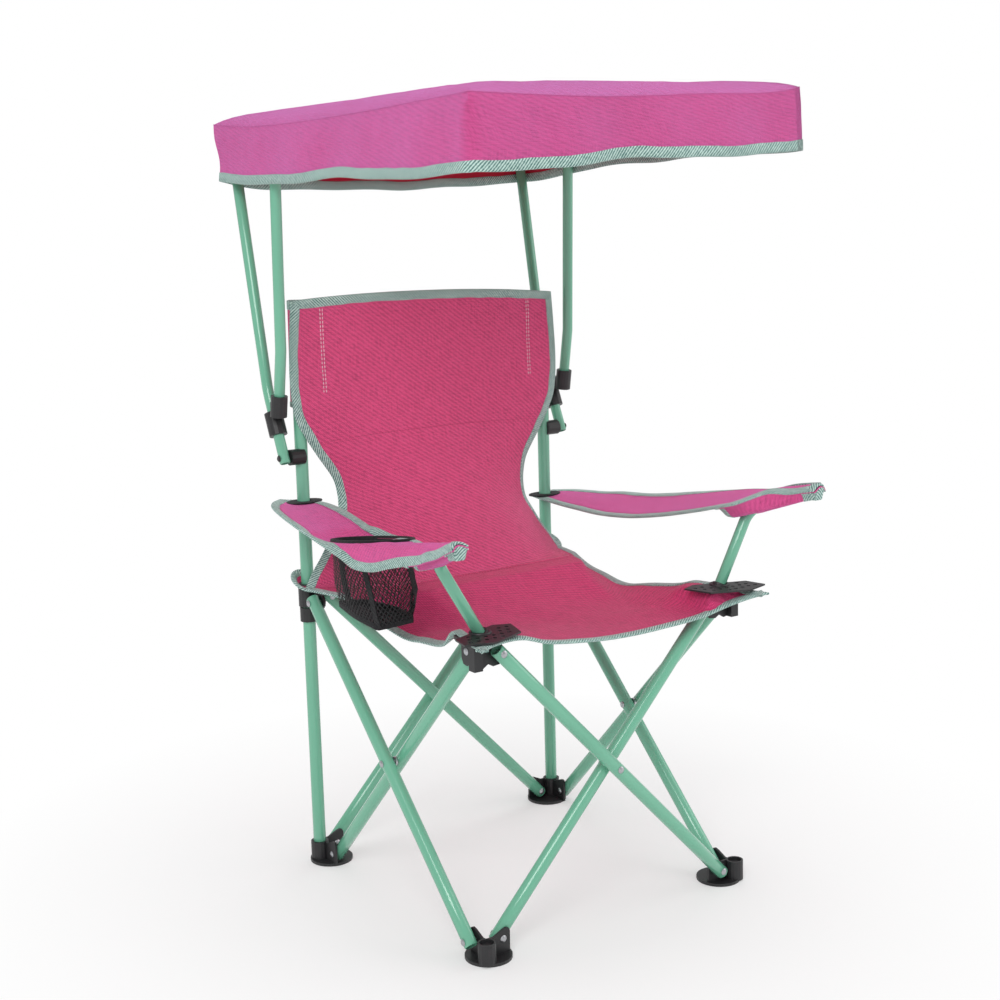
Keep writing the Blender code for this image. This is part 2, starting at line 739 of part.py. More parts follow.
def make_arm_post(side, origin):
    path = rounded_path(list(arm_corners(side)), ARM_BEND_RADIUS)
    return solid(f"arm_post_{SIDE_NAMES[side]}", pipe_shape(path, ARM_TUBE_RADIUS, ARM_TUBE_WALL, ARM_TUBE_SIDES),
                 painted_tube(), origin)


def rear_arm_corners(side):
    tip_height = CANOPY_SEAM_REAR_HEIGHT - ARM_BELOW_SEAM
    return [
        Vector((side * REAR_ARM_X, CANOPY_PIVOT_Y, BRACKET_HEIGHT)),
        Vector((side * REAR_ARM_X, REAR_ARM_KNEE_Y, BRACKET_HEIGHT + REAR_ARM_KNEE_RISE)),
        Vector((side * REAR_ARM_TIP_X, REAR_ARM_TIP_Y, tip_height)),
    ]


def front_arm_corners(side):
    x = side * FRONT_ARM_X
    return [
        Vector((x, CANOPY_PIVOT_Y, BRACKET_HEIGHT + FRONT_ARM_FOOT_RISE)),
        Vector((x, FRONT_ARM_ELBOW_Y, BRACKET_HEIGHT + FRONT_ARM_ELBOW_RISE)),
        Vector((x, FRONT_ARM_TOP_Y, seam_height(FRONT_ARM_TOP_Y) - ARM_BELOW_SEAM)),
        Vector((x, FRONT_ARM_TIP_Y, seam_height(FRONT_ARM_TIP_Y) - ARM_BELOW_SEAM)),
    ]


def seam_height(y):
    share = (y - CANOPY_FRONT_Y) / (CANOPY_REAR_Y - CANOPY_FRONT_Y)
    return CANOPY_SEAM_FRONT_HEIGHT + (CANOPY_SEAM_REAR_HEIGHT - CANOPY_SEAM_FRONT_HEIGHT) * share


def make_rear_arm(side, origin):
    """Rear canopy arm: a bent tube that runs a little past its lower pin, with a cross hole there."""
    corners = rear_arm_corners(side)
    pin = corners[0]
    down = (pin - corners[1]).normalized()
    path = rounded_path([pin + END_PAST_PIN * down] + corners[1:], REAR_ARM_BEND_RADIUS)
    tube = pipe_shape(path, ARM_TUBE_RADIUS, ARM_TUBE_WALL, ARM_TUBE_SIDES)
    made = solid(f"canopy_rear_arm_{SIDE_NAMES[side]}", tube, painted_tube(), origin)
    return cut(made, [pin_hole(pin, ACROSS, 2 * ARM_TUBE_RADIUS)])


def make_front_arm(side, origin):
    """Front canopy arm: from its socket up, over an elbow and forward under the canopy's side seam."""
    path = rounded_path(front_arm_corners(side), FRONT_ARM_BEND_RADIUS)
    tube = pipe_shape(path, ARM_TUBE_RADIUS, ARM_TUBE_WALL, ARM_TUBE_SIDES)
    return solid(f"canopy_front_arm_{SIDE_NAMES[side]}", tube, painted_tube(), origin)


def make_bracket(side):
    """Canopy bracket: a round spacer that fits the post, with the pivot stub of the rear canopy arm and its head."""
    centre = Vector((0, CANOPY_PIVOT_Y, BRACKET_HEIGHT))
    start = side * POST_X
    arm_x = side * REAR_ARM_X
    spacer_end = arm_x - side * (ARM_TUBE_RADIUS + CLEARANCE)
    stub_end = arm_x + side * (ARM_TUBE_RADIUS + CLEARANCE)
    direction = side * ACROSS
    name = SIDE_NAMES[side]
    spacer = rod_shape(centre + start * ACROSS, centre + spacer_end * ACROSS, BRACKET_RADIUS, BRACKET_SIDES)
    made = solid(f"canopy_bracket_{name}", spacer, black_plastic(), centre + spacer_end * ACROSS)
    length = abs(stub_end - start)
    stations = [(abs(spacer_end - start) / 2, RIVET_RADIUS), (length, RIVET_RADIUS), (length, RIVET_HEAD_RADIUS),
                (length + RIVET_HEAD_HEIGHT, RIVET_HEAD_RADIUS * RIVET_CROWN_SHARE)]
    join(made, [turned_shape(centre + start * ACROSS, direction, stations, RIVET_SIDES)])
    low = post_point(side, BRACKET_HEIGHT - 2 * BRACKET_RADIUS)
    high = post_point(side, BRACKET_HEIGHT + 2 * BRACKET_RADIUS)
    return cut(made, [rod_shape(low, high, TUBE_RADIUS + CLEARANCE, TUBE_SIDES)])


def make_connector(side, origin):
    """Connector: a sleeve on the rear canopy arm, joined by a web to the socket of the front canopy arm."""
    corners = rear_arm_corners(side)
    rise = (corners[1] - corners[0]).normalized()
    centre = corners[0].lerp(corners[1], CONNECTOR_SHARE)
    half = CONNECTOR_SLEEVE_LENGTH / 2 * rise
    made = solid(f"canopy_connector_{SIDE_NAMES[side]}",
                 rod_shape(centre - half, centre + half, CONNECTOR_SLEEVE_RADIUS, BRACKET_SIDES),
                 black_plastic(), origin)
    foot, elbow = front_arm_corners(side)[:2]
    climb = (elbow - foot).normalized()
    floor = foot - (CLEARANCE + CONNECTOR_SOCKET_FLOOR) * climb
    top = floor + CONNECTOR_SOCKET_LENGTH * climb
    middle_x = (centre.x + foot.x) / 2
    low = Vector((middle_x, centre.y, floor.z))
    near = Vector((middle_x, foot.y, floor.z))
    lift = Vector((0, 0, CONNECTOR_WEB_HEIGHT))
    join(made, [
        rod_shape(floor, top, CONNECTOR_SOCKET_RADIUS, BRACKET_SIDES),
        plate_shape([low, near, near + lift, low + lift], ACROSS, CONNECTOR_WEB_THICKNESS),
    ])
    return cut(made, [
        rod_shape(centre - 2 * half, centre + 2 * half, ARM_TUBE_RADIUS + CLEARANCE, ARM_TUBE_SIDES),
        rod_shape(foot - CLEARANCE * climb, top + CONNECTOR_SOCKET_LENGTH * climb, ARM_TUBE_RADIUS + CLEARANCE,
                  ARM_TUBE_SIDES),
    ])


def smooth_share(value):
    value = min(max(value, 0), 1)
    return value * value * (3 - 2 * value)


def make_canopy(origin):
    """Canopy cover: one sheet, crowned above its seam, with a waved skirt and corners drawn out over the arm tips."""
    middle_y = (CANOPY_FRONT_Y + CANOPY_REAR_Y) / 2
    edge = []
    for quarter in range(4):
        for step in range(CANOPY_EDGE_POINTS):
            share = 2 * step / CANOPY_EDGE_POINTS - 1
            edge.append(((1, share), (-share, 1), (-1, -share), (share, -1))[quarter])
    seam = []
    for share_x, share_y in edge:
        reach = abs(share_x) ** EAR_POWER
        rear = CANOPY_REAR_Y + CANOPY_EAR_REACH * reach
        front = CANOPY_FRONT_Y - CANOPY_FRONT_EAR_REACH * reach
        y = middle_y + (rear - middle_y) * share_y if share_y > 0 else middle_y + (middle_y - front) * share_y
        seam.append(Vector((share_x * CANOPY_HALF_WIDTH, y, seam_height(min(y, CANOPY_REAR_Y)))))
    rings = []
    for share in CANOPY_RING_SHARES:
        one = []
        for point, (share_x, share_y) in zip(seam, edge):
            x = point.x * share
            y = middle_y + (point.y - middle_y) * share
            bulge = ((1 - (share_x * share) ** 2) * (1 - (share_y * share) ** 2)) ** CROWN_POWER
            one.append(Vector((x, y, seam_height(min(y, CANOPY_REAR_Y)) + CANOPY_CROWN * bulge)))
        rings.append(one)
    count = len(seam)
    for level in SKIRT_LEVEL_SHARES:
        one = []
        for index, (point, (share_x, share_y)) in enumerate(zip(seam, edge)):
            wave = math.sin(2 * math.pi * SKIRT_WAVES * index / count)
            outward = Vector((share_x, share_y, 0)).normalized()
            push = level * (SKIRT_FLARE + SKIRT_WAVE * wave)
            drop = level * (SKIRT_DROP + SKIRT_EDGE_WAVE * wave)
            one.append(point + push * outward - Vector((0, 0, drop)))
        rings.append(one)
    normals = []
    for level, one in enumerate(rings):
        row = []
        for index in range(count):
            around = one[(index + 1) % count] - one[index - 1]
            inward = rings[max(level - 1, 0)][index] - rings[min(level + 1, len(rings) - 1)][index]
            row.append(inward.cross(around).normalized())
        normals.append(row)
    outer = [[p + CLOTH / 2 * n for p, n in zip(one, row)] for one, row in zip(rings, normals)]
    inner = [[p - CLOTH / 2 * n for p, n in zip(one, row)] for one, row in zip(rings, normals)]
    return solid("canopy_cover", loft(outer + inner[::-1], False), canopy_cloth(), origin)


def seat_seam(share):
    """Rear edge of the seat: the seam in the middle and the tabs at the posts."""
    turn = smooth_share((abs(share) - SEAT_SEAM_SHARE) / (1 - SEAT_SEAM_SHARE))
    tab_height = side_pin("slider").z + COLLAR_ABOVE_PIN + CLEARANCE + SEWN_GAP + CLOTH / 2
    return Vector((
        share * SEAT_TAB_X,
        SEAT_SEAM_Y + (SEAT_TAB_Y - SEAT_SEAM_Y) * turn,
        SEAT_SEAM_HEIGHT + (tab_height - SEAT_SEAM_HEIGHT) * turn,
    ))


def seat_corner_height():
    return side_pin("hub").z + HUB_FLANGE_RISE + HUB_FLANGE_THICKNESS + CLEARANCE + CLOTH / 2


def seat_point(share, along):
    """Middle surface of the seat: share from -1 to 1 across, along from 0 at the front to 1 at the seam."""
    rise = smooth_share(abs(share) / SEAT_FRONT_RISE_SHARE)
    front = Vector((
        share * SEAT_CORNER_X,
        SEAT_FRONT_Y - SEAT_CORNER_FORWARD * abs(share) ** 4,
        SEAT_FRONT_MIDDLE_HEIGHT + (seat_corner_height() - SEAT_FRONT_MIDDLE_HEIGHT) * rise,
    ))
    rear = seat_seam(share)
    point = front.lerp(rear, along)
    neck = SEAT_NECK_SHARE * math.sin(math.pi * along)
    low, high = SEAT_FLAT_SHARES
    free = min(max((along - low) / (high - low), 0), 1)
    dip = math.sin(math.pi * free)
    sag = SEAT_MIDDLE_SAG + (SEAT_EDGE_SAG - SEAT_MIDDLE_SAG) * abs(share) ** 2
    return Vector((point.x * (1 - neck), point.y, front.z + (rear.z - front.z) * free - sag * dip))


def boss_cutter(side, clearance):
    base = arm_base(side)
    reach = 2 * ARM_BOSS_LENGTH * arm_rise(side)
    return rod_shape(base - reach, base + reach, ARM_BOSS_RADIUS + clearance, ARM_BOSS_SIDES)


def post_cutter(side, low, high):
    return rod_shape(post_point(side, low), post_point(side, high), TUBE_RADIUS + SEWN_GAP, TUBE_SIDES)


def make_seat(origin):
    rows = []
    for row in range(SEAT_ROWS + 1):
        along = row / SEAT_ROWS
        rows.append([seat_point(2 * column / SEAT_COLUMNS - 1, along) for column in range(SEAT_COLUMNS + 1)])
    made = solid("seat_sling", sheet_shape(rows, CLOTH), sling_cloth(), origin)
    height = side_pin("slider").z
    holes = []
    for side in (LEFT, RIGHT):
        holes.append(boss_cutter(side, SEWN_GAP))
        holes.append(post_cutter(side, height, height + 2 * COLLAR_RADIUS + COLLAR_ABOVE_PIN))
    return cut(made, holes)


def make_corner_plate(side, origin):
    low = seat_corner_height() + CLOTH / 2 + PLATE_LIFT
    outline = []
    for out, back in PLATE_CORNER_SHARES:
        outline.append(Vector((side * (ARM_BASE_X + out * PLATE_SPAN), ARM_BASE_Y + back * PLATE_SPAN, low)))
    rise = Vector((0, 0, PLATE_THICKNESS))
    made = solid(f"corner_plate_{SIDE_NAMES[side]}", loft([outline, [point + rise for point in outline]], False),
                 black_plastic(), origin)
    return cut(made, [boss_cutter(side, SEWN_GAP)])


def back_row(height, half_width, edge_y, middle_y, rise):
    """Points across the backrest; the middle stands higher than the edges by the rise."""
    row = []
    for column in range(BACK_COLUMNS + 1):
        share = 2 * column / BACK_COLUMNS - 1
        spread = min(abs(share) * half_width / POST_X, 1) ** 2 if half_width > POST_X else share * share
        y = middle_y + (edge_y - middle_y) * spread
        row.append(Vector((share * half_width, y, height + rise * (1 - spread))))
    return row


def make_backrest():
    """Backrest: hourglass sheet from the seat seam up, with a closed sleeve over the top of each post."""
    sleeve_radius = TUBE_RADIUS + CLEARANCE + CLOTH
    sleeve_low = BACK_TOP_HEIGHT - SLEEVE_HEIGHT
    travel_y = BACK_MIDDLE_TOP_Y - SEAT_SEAM_Y
    rise_z = BACK_TOP_HEIGHT - SEAT_SEAM_HEIGHT
    bottom = []
    for column in range(BACK_COLUMNS + 1):
        share = 2 * column / BACK_COLUMNS - 1
        bottom.append(seat_seam(share * BACK_SEAM_SHARE) + Vector((0, 0, BACK_SEAM_LIFT)))
    rows = [bottom]
    for up, wide, edge, middle in BACK_STATION_SHARES:
        rows.append(back_row(SEAT_SEAM_HEIGHT + up * rise_z, wide * BACK_HALF_WIDTH, SEAT_SEAM_Y + edge * travel_y,
                             SEAT_SEAM_Y + middle * travel_y, BACK_BOTTOM_MIDDLE_RISE))
    last = len(SLEEVE_WIDTH_SHARES) - 1
    middle_y = SEAT_SEAM_Y + BACK_STATION_SHARES[-1][3] * travel_y
    for step, wide in enumerate(SLEEVE_WIDTH_SHARES):
        height = sleeve_low + SLEEVE_HEIGHT * step / last
        edge_y = post_point(RIGHT, height).y - sleeve_radius + CLOTH / 2
        top_share = (step + 1) / (last + 1)
        row_y = middle_y + (BACK_MIDDLE_TOP_Y - middle_y) * top_share
        row_rise = BACK_BOTTOM_MIDDLE_RISE * (1 - top_share)
        rows.append(back_row(height, wide * BACK_HALF_WIDTH, edge_y, row_y, row_rise))
    made = solid("backrest_sling", sheet_shape(rows, CLOTH), sling_cloth())
    for side in (LEFT, RIGHT):
        join(made, [rod_shape(post_point(side, sleeve_low), post_point(side, BACK_TOP_HEIGHT), sleeve_radius,
                              SLEEVE_SIDES)])
        cut(made, [rod_shape(post_point(side, sleeve_low - SLEEVE_HEIGHT),
                             post_point(side, BACK_TOP_HEIGHT - SLEEVE_CAP), TUBE_RADIUS + CLEARANCE, SLEEVE_SIDES)])
    return made


def panel_point(side, row, share):
    """Middle surface of an arm panel: share from 0 at its inner edge to 1 at its outer edge."""
    along, left_drop, right_drop = PANEL_STATION_SHARES[row]
    y = PANEL_FRONT_Y + (PANEL_REAR_Y - PANEL_FRONT_Y) * along
    below = PANEL_LEFT_BELOW_BRACKET if side == LEFT else PANEL_RIGHT_BELOW_BRACKET
    total = PANEL_FRONT_HEIGHT - (BRACKET_HEIGHT - below)
    drop = left_drop if side == LEFT else right_drop
    width = PANEL_WIDTH_SHARES[row]
    tip_x = ARM_TIP_X if y < ARM_BEND_Y else POST_X
    middle_x = (PANEL_INNER_X + PANEL_OUTER_X) / 2
    centre_x = tip_x + (middle_x - tip_x) * smooth_share(width)
    x = centre_x + width * (PANEL_OUTER_X - PANEL_INNER_X) * (share - 0.5)
    return Vector((side * x, y, PANEL_FRONT_HEIGHT - total * drop))


def cup_ring(height, scale_x, scale_y):
    points = []
    for index in range(CUP_SIDES):
        turn = 2 * math.pi * index / CUP_SIDES
        points.append(Vector((-CUP_CENTRE_X + scale_x * math.cos(turn), CUP_CENTRE_Y + scale_y * math.sin(turn),
                              height)))
    return points


def panel_height(side, y):
    """Height of an arm panel's middle surface at a y, between its rows."""
    for row in range(len(PANEL_STATION_SHARES) - 1):
        low = panel_point(side, row, 0)
        high = panel_point(side, row + 1, 0)
        if low.y <= y <= high.y:
            return low.z + (high.z - low.z) * (y - low.y) / (high.y - low.y)
    return PANEL_FRONT_HEIGHT


def make_arm_panel(side, origin):
    """Arm panel: a cloth from the rear post to a pocket over the arm post's tip."""
    rows = []
    for row in range(len(PANEL_STATION_SHARES)):
        rows.append([panel_point(side, row, column / PANEL_COLUMNS) for column in range(PANEL_COLUMNS + 1)])
    made = solid(f"arm_panel_{SIDE_NAMES[side]}", sheet_shape(rows, CLOTH), sling_cloth(), origin)
    bend, tip = arm_corners(side)[1:]
    ahead = (tip - bend).normalized()
    outer = ARM_TUBE_RADIUS + SEWN_GAP + CLOTH
    join(made, [rod_shape(tip - POCKET_LENGTH * ahead, tip + (SEWN_GAP + POCKET_END_CAP) * ahead, outer, SLEEVE_SIDES)])
    tools = [rod_shape(tip - 2 * POCKET_LENGTH * ahead, tip + SEWN_GAP * ahead, ARM_TUBE_RADIUS + SEWN_GAP,
                       SLEEVE_SIDES)]
    height = panel_height(side, POST_FOOT_Y)
    tools.append(post_cutter(side, height - POCKET_LENGTH, height + POCKET_LENGTH))
    if side == LEFT:
        height = panel_height(LEFT, CUP_CENTRE_Y)
        scale_x = CUP_HALF_WIDTH + SEWN_GAP
        scale_y = CUP_HALF_LENGTH + SEWN_GAP
        tools.append(loft([cup_ring(height - POCKET_LENGTH, scale_x, scale_y),
                           cup_ring(height + POCKET_LENGTH, scale_x, scale_y)], False))
    return cut(made, tools)


def make_cup_bag(origin):
    """Cup bag: an oval bag with an open mouth, hung from its rim on the left arm panel."""
    top = panel_height(LEFT, CUP_CENTRE_Y) + CLOTH / 2 + SEWN_GAP
    rim_x = CUP_HALF_WIDTH + CUP_RIM_WIDTH
    rim_y = CUP_HALF_LENGTH + CUP_RIM_WIDTH
    depth = top - CUP_BOTTOM_HEIGHT
    rings = []
    for level, scale in reversed(CUP_LEVEL_SHARES):
        rings.append(cup_ring(CUP_BOTTOM_HEIGHT + level * depth, scale * CUP_HALF_WIDTH, scale * CUP_HALF_LENGTH))
    rings.append(cup_ring(top, rim_x, rim_y))
    rings.append(cup_ring(top + CUP_RIM_HEIGHT, rim_x, rim_y))
    inner_depth = depth + CUP_RIM_HEIGHT - CLOTH
    for level, scale in CUP_LEVEL_SHARES:
        rings.append(cup_ring(CUP_BOTTOM_HEIGHT + CLOTH + level * inner_depth, scale * CUP_HALF_WIDTH - CLOTH,
                              scale * CUP_HALF_LENGTH - CLOTH))
    return solid("cup_bag", loft(rings, False), cup_mesh(), origin)


def make_cross_tubes():
    """Eight crossed tubes and the rivet of each middle pivot."""
    reach = TUBE_OFFSET
    for side in (LEFT, RIGHT):
        name = SIDE_NAMES[side]
        # Left: the tube from the rear foot lies inside, right: it lies outside.
        rising_x = side * SIDE_PLANE_X + reach
        falling_x = side * SIDE_PLANE_X - reach
        centre = side_pin("centre")
        rear_pin = side_point("foot_rear", rising_x)
        cross_tube(f"side_tube_rising_{name}", rear_pin, side_point("hub", rising_x),
                   centre + rising_x * ACROSS, ACROSS, rear_pin)
        middle = centre + falling_x * ACROSS
        cross_tube(f"side_tube_falling_{name}", side_point("slider", falling_x),
                   side_point("foot_front", falling_x), middle, ACROSS, middle)
        centre_rivet(f"rivet_centre_{name}", centre + side * SIDE_PLANE_X * ACROSS, ACROSS)
    for row in ("rear", "front"):
        # The tube that rises to the right: behind its plane, on the rear and on the front pair.
        offset = reach * BACKWARD
        centre = cross_pin(row, 0.5, 0)
        start = cross_pin(row, 0, LEFT) + offset
        cross_tube(f"{row}_tube_rising", start, cross_pin(row, 1, RIGHT) + offset, centre + offset, BACKWARD, start)
        cross_tube(f"{row}_tube_falling", cross_pin(row, 1, LEFT) - offset, cross_pin(row, 0, RIGHT) - offset,
                   centre - offset, BACKWARD, centre - offset)
        centre_rivet(f"rivet_centre_{row}", centre, BACKWARD)


def make_end_rivets():
    """Rivets at the feet, sliders and hubs: one through each web and the tube beside it."""
    for side in (LEFT, RIGHT):
        name = SIDE_NAMES[side]
        plane = side * SIDE_PLANE_X
        end_rivet(f"rivet_foot_rear_side_{name}", side_point("foot_rear", plane), ACROSS)
        end_rivet(f"rivet_hub_side_{name}", side_point("hub", plane), ACROSS)
        end_rivet(f"rivet_slider_side_{name}", side_point("slider", plane), -ACROSS)
        end_rivet(f"rivet_foot_front_side_{name}", side_point("foot_front", plane), -ACROSS)
        low = BACKWARD if side == LEFT else -BACKWARD
        end_rivet(f"rivet_foot_rear_cross_{name}", cross_pin("rear", 0, side), low)
        end_rivet(f"rivet_foot_front_cross_{name}", cross_pin("front", 0, side), low)
        end_rivet(f"rivet_slider_cross_{name}", cross_pin("rear", 1, side), -low)
        end_rivet(f"rivet_hub_cross_{name}", cross_pin("front", 1, side), -low)


def shade():
    for obj in bpy.data.objects:
        obj.data.polygons.foreach_set("use_smooth", [True] * len(obj.data.polygons))
        obj.data.set_sharp_from_angle(angle=SHARP_ANGLE)
        obj.data.update()


def centre_model():
    """Move the whole chair along Y so that the origin is below the middle of its outline."""
    bpy.context.view_layer.update()
    reach = [(obj.matrix_world @ Vector(corner)).y for obj in bpy.data.objects for corner in obj.bound_box]
    shift = -(min(reach) + max(reach)) / 2
    for obj in bpy.data.objects:
        obj.location.y += shift
    return shift


def build():
    clear_scene()
    falling = {side: side_point("slider", side * SIDE_PLANE_X - TUBE_OFFSET) for side in (LEFT, RIGHT)}
    rising = {side: side_point("hub", side * SIDE_PLANE_X + TUBE_OFFSET) for side in (LEFT, RIGHT)}
    front = {side: side_point("foot_front", side * SIDE_PLANE_X - TUBE_OFFSET) for side in (LEFT, RIGHT)}
    for side in (LEFT, RIGHT):
        make_post(side)
        rear_origin = cross_pin("rear", 0, side) if side == RIGHT else None
        make_foot("rear", side, rear_origin)
        make_foot("front", side, front[side])
        slider_origin = falling[side] if side == LEFT else cross_pin("rear", 1, side) + TUBE_OFFSET * BACKWARD
        make_slider(side, slider_origin)
        make_stop_ring(side)
        make_hub(side, rising[side])
        make_arm_post(side, rising[side])
        make_corner_plate(side, rising[side])
        make_bracket(side)
        pivot = rear_arm_corners(side)[0]
        make_rear_arm(side, pivot)
        make_connector(side, pivot)
        make_front_arm(side, pivot)
        make_arm_panel(side, rising[side])
    make_cross_tubes()
    make_end_rivets()
    make_canopy(rear_arm_corners(LEFT)[0])
    make_seat(falling[LEFT])
    make_backrest()
    make_cup_bag(rising[LEFT])
    shade()
    return centre_model()


SHIFT_Y = build()
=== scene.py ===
"""Looks of the kids folding chair with canopy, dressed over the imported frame.

Metres, in the frame of the CAD model: +X right, +Y to the rear, +Z up, floor at z = 0.
"""

import json
import math

import bpy
import bmesh
from mathutils import Matrix, Vector, noise

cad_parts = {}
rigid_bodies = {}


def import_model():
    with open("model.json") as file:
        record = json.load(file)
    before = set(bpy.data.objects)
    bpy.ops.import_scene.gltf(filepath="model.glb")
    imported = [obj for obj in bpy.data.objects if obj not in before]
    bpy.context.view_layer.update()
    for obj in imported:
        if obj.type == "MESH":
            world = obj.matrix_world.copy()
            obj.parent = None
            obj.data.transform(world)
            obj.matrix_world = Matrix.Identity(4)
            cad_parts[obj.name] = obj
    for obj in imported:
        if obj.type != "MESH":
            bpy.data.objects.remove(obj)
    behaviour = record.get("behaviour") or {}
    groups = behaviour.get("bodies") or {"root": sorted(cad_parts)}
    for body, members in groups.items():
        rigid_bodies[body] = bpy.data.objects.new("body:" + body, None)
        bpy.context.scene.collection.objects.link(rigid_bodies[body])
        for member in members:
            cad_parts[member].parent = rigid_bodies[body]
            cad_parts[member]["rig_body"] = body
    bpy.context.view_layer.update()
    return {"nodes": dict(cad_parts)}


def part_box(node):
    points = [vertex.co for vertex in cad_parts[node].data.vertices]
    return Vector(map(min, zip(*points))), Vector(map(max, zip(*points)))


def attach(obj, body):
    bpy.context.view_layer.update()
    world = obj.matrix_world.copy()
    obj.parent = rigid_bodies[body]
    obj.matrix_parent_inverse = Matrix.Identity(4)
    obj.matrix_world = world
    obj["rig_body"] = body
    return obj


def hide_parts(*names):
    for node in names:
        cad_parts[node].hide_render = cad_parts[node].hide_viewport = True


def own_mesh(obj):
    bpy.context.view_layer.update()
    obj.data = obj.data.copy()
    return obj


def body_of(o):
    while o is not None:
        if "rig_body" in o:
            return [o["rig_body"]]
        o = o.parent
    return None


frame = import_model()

# Sizes shared with the solids.
SHIFT_Y = -0.0200177
LEAN = math.radians(1.0)
OPEN_ANGLE = math.radians(45.9)
ARM_REACH = 0.1873
PLANE_X = 0.1495
REAR_PLANE_Y = 0.1525
FRONT_PLANE_Y = -0.1475
TUBE_R = 0.0065
TUBE_OFFSET = 0.008
POST_X = 0.1525
POST_FOOT_Y = 0.149
POST_TOP = 0.5775
ARM_R = 0.0055
TUBE_WALL, ARM_WALL = 0.0012, 0.001
# A tube's end past its pin, a rear post's lower end, and a canopy arm's middle below the seam.
END_REACH = 0.0055
POST_FOOT = 0.0033
ARM_DROP = 0.0071
CLOTH = 0.0010
LEFT, RIGHT = -1, 1
SIDE = {LEFT: "left", RIGHT: "right"}
UP = Vector((0, math.sin(LEAN), math.cos(LEAN)))
BACK = Vector((0, math.cos(LEAN), -math.sin(LEAN)))
ACROSS = Vector((1, 0, 0))


def at(x, y, z):
    """A point given with y = 0 midway between the front and rear pairs."""
    return Vector((x, y + SHIFT_Y, z))


# Camera, from the photograph's perspective.
def make_camera():
    yaw, pitch, roll = -0.6199, -0.1808, -0.017
    ahead = Vector((-math.sin(yaw) * math.cos(pitch), math.cos(yaw) * math.cos(pitch), math.sin(pitch)))
    right = ahead.cross(Vector((0, 0, 1))).normalized()
    up = right.cross(ahead).normalized()
    right, up = right * math.cos(roll) + up * math.sin(roll), up * math.cos(roll) - right * math.sin(roll)
    data = bpy.data.cameras.new("camera")
    data.lens = 58.37
    data.sensor_width = 36
    data.clip_start = 0.05
    made = bpy.data.objects.new("camera", data)
    place = at(-0.9276, -1.2717, 0.6736)
    made.matrix_world = Matrix((
        (right.x, up.x, -ahead.x, place.x),
        (right.y, up.y, -ahead.y, place.y),
        (right.z, up.z, -ahead.z, place.z),
        (0, 0, 0, 1),
    ))
    bpy.context.scene.collection.objects.link(made)
    bpy.context.scene.camera = made


make_camera()


# Materials.
def srgb(red, green, blue):
    def linear(value):
        value /= 255
        return value / 12.92 if value <= 0.04045 else ((value + 0.055) / 1.055) ** 2.4
    return (linear(red), linear(green), linear(blue), 1.0)


class Graph:
    """Small helper for a material's nodes."""

    def __init__(self, name):
        self.material = bpy.data.materials.new(name)
        self.material.use_nodes = True
        self.tree = self.material.node_tree
        self.shader = self.tree.nodes["Principled BSDF"]
        self.output = self.tree.nodes["Material Output"]

    def add(self, kind, **values):
        made = self.tree.nodes.new(kind)
        for key, value in values.items():
            setattr(made, key, value)
        return made

    def link(self, source, target):
        self.tree.links.new(source, target)

    def math(self, operation, first, second=None, third=None):
        made = self.add("ShaderNodeMath", operation=operation)
        for slot, value in enumerate((first, second, third)):
            if value is None:
                continue
            if isinstance(value, (int, float)):
                made.inputs[slot].default_value = value
            else:
                self.link(value, made.inputs[slot])
        return made.outputs[0]

    def noise(self, vector, scale, detail=2.0, roughness=0.5):
        made = self.add("ShaderNodeTexNoise")
        made.inputs["Scale"].default_value = scale
        made.inputs["Detail"].default_value = detail
        made.inputs["Roughness"].default_value = roughness
        self.link(vector, made.inputs["Vector"])
        return made.outputs["Fac"]

    def mix(self, factor, first, second):
        made = self.add("ShaderNodeMix", data_type="RGBA")
        sockets = (made.inputs[0], made.inputs[6], made.inputs[7])
        for target, value in zip(sockets, (factor, first, second)):
            if isinstance(value, (int, float, tuple)):
                target.default_value = value
            else:
                self.link(value, target)
        return made.outputs[2]

    def bump(self, height, distance, strength=1.0, normal=None):
        made = self.add("ShaderNodeBump")
        made.inputs["Strength"].default_value = strength
        made.inputs["Distance"].default_value = distance
        self.link(height, made.inputs["Height"])
        if normal is not None:
            self.link(normal, made.inputs["Normal"])
        return made.outputs["Normal"]

    def place(self):
        return self.add("ShaderNodeTexCoord").outputs["Object"]

    def flat(self):
        return self.add("ShaderNodeUVMap", uv_map="UVMap").outputs["UV"]


# Periods of the woven lines, in metres: twill of the cloth, ribs and threads of the tape, cells of the net.
TWILL_PERIOD = 0.0040
RIB_PERIOD = 0.0032
THREAD_PERIOD = 0.0009
NET_WIDTH, NET_HEIGHT = 0.0044, 0.0060


def weave(graph, period_u, period_v):
    """Plain weave on UVs in metres: (height, share of warp on top)."""
    split = graph.add("ShaderNodeSeparateXYZ")
    graph.link(graph.flat(), split.inputs[0])
    wave_u = graph.math("SINE", graph.math("MULTIPLY", split.outputs[0], math.pi / period_u))
    wave_v = graph.math("SINE", graph.math("MULTIPLY", split.outputs[1], math.pi / period_v))
    top = graph.math("GREATER_THAN", graph.math("MULTIPLY", wave_u, wave_v), 0.0)
    across = graph.math("ABSOLUTE", wave_u)
    along = graph.math("ABSOLUTE", wave_v)
    warp = graph.math("MULTIPLY", across, graph.math("MULTIPLY_ADD", along, 0.4, 0.6))
    weft = graph.math("MULTIPLY", along, graph.math("MULTIPLY_ADD", across, 0.4, 0.6))
    height = graph.math("ADD", graph.math("MULTIPLY", warp, top),
                        graph.math("MULTIPLY", weft, graph.math("SUBTRACT", 1.0, top)))
    return height, top


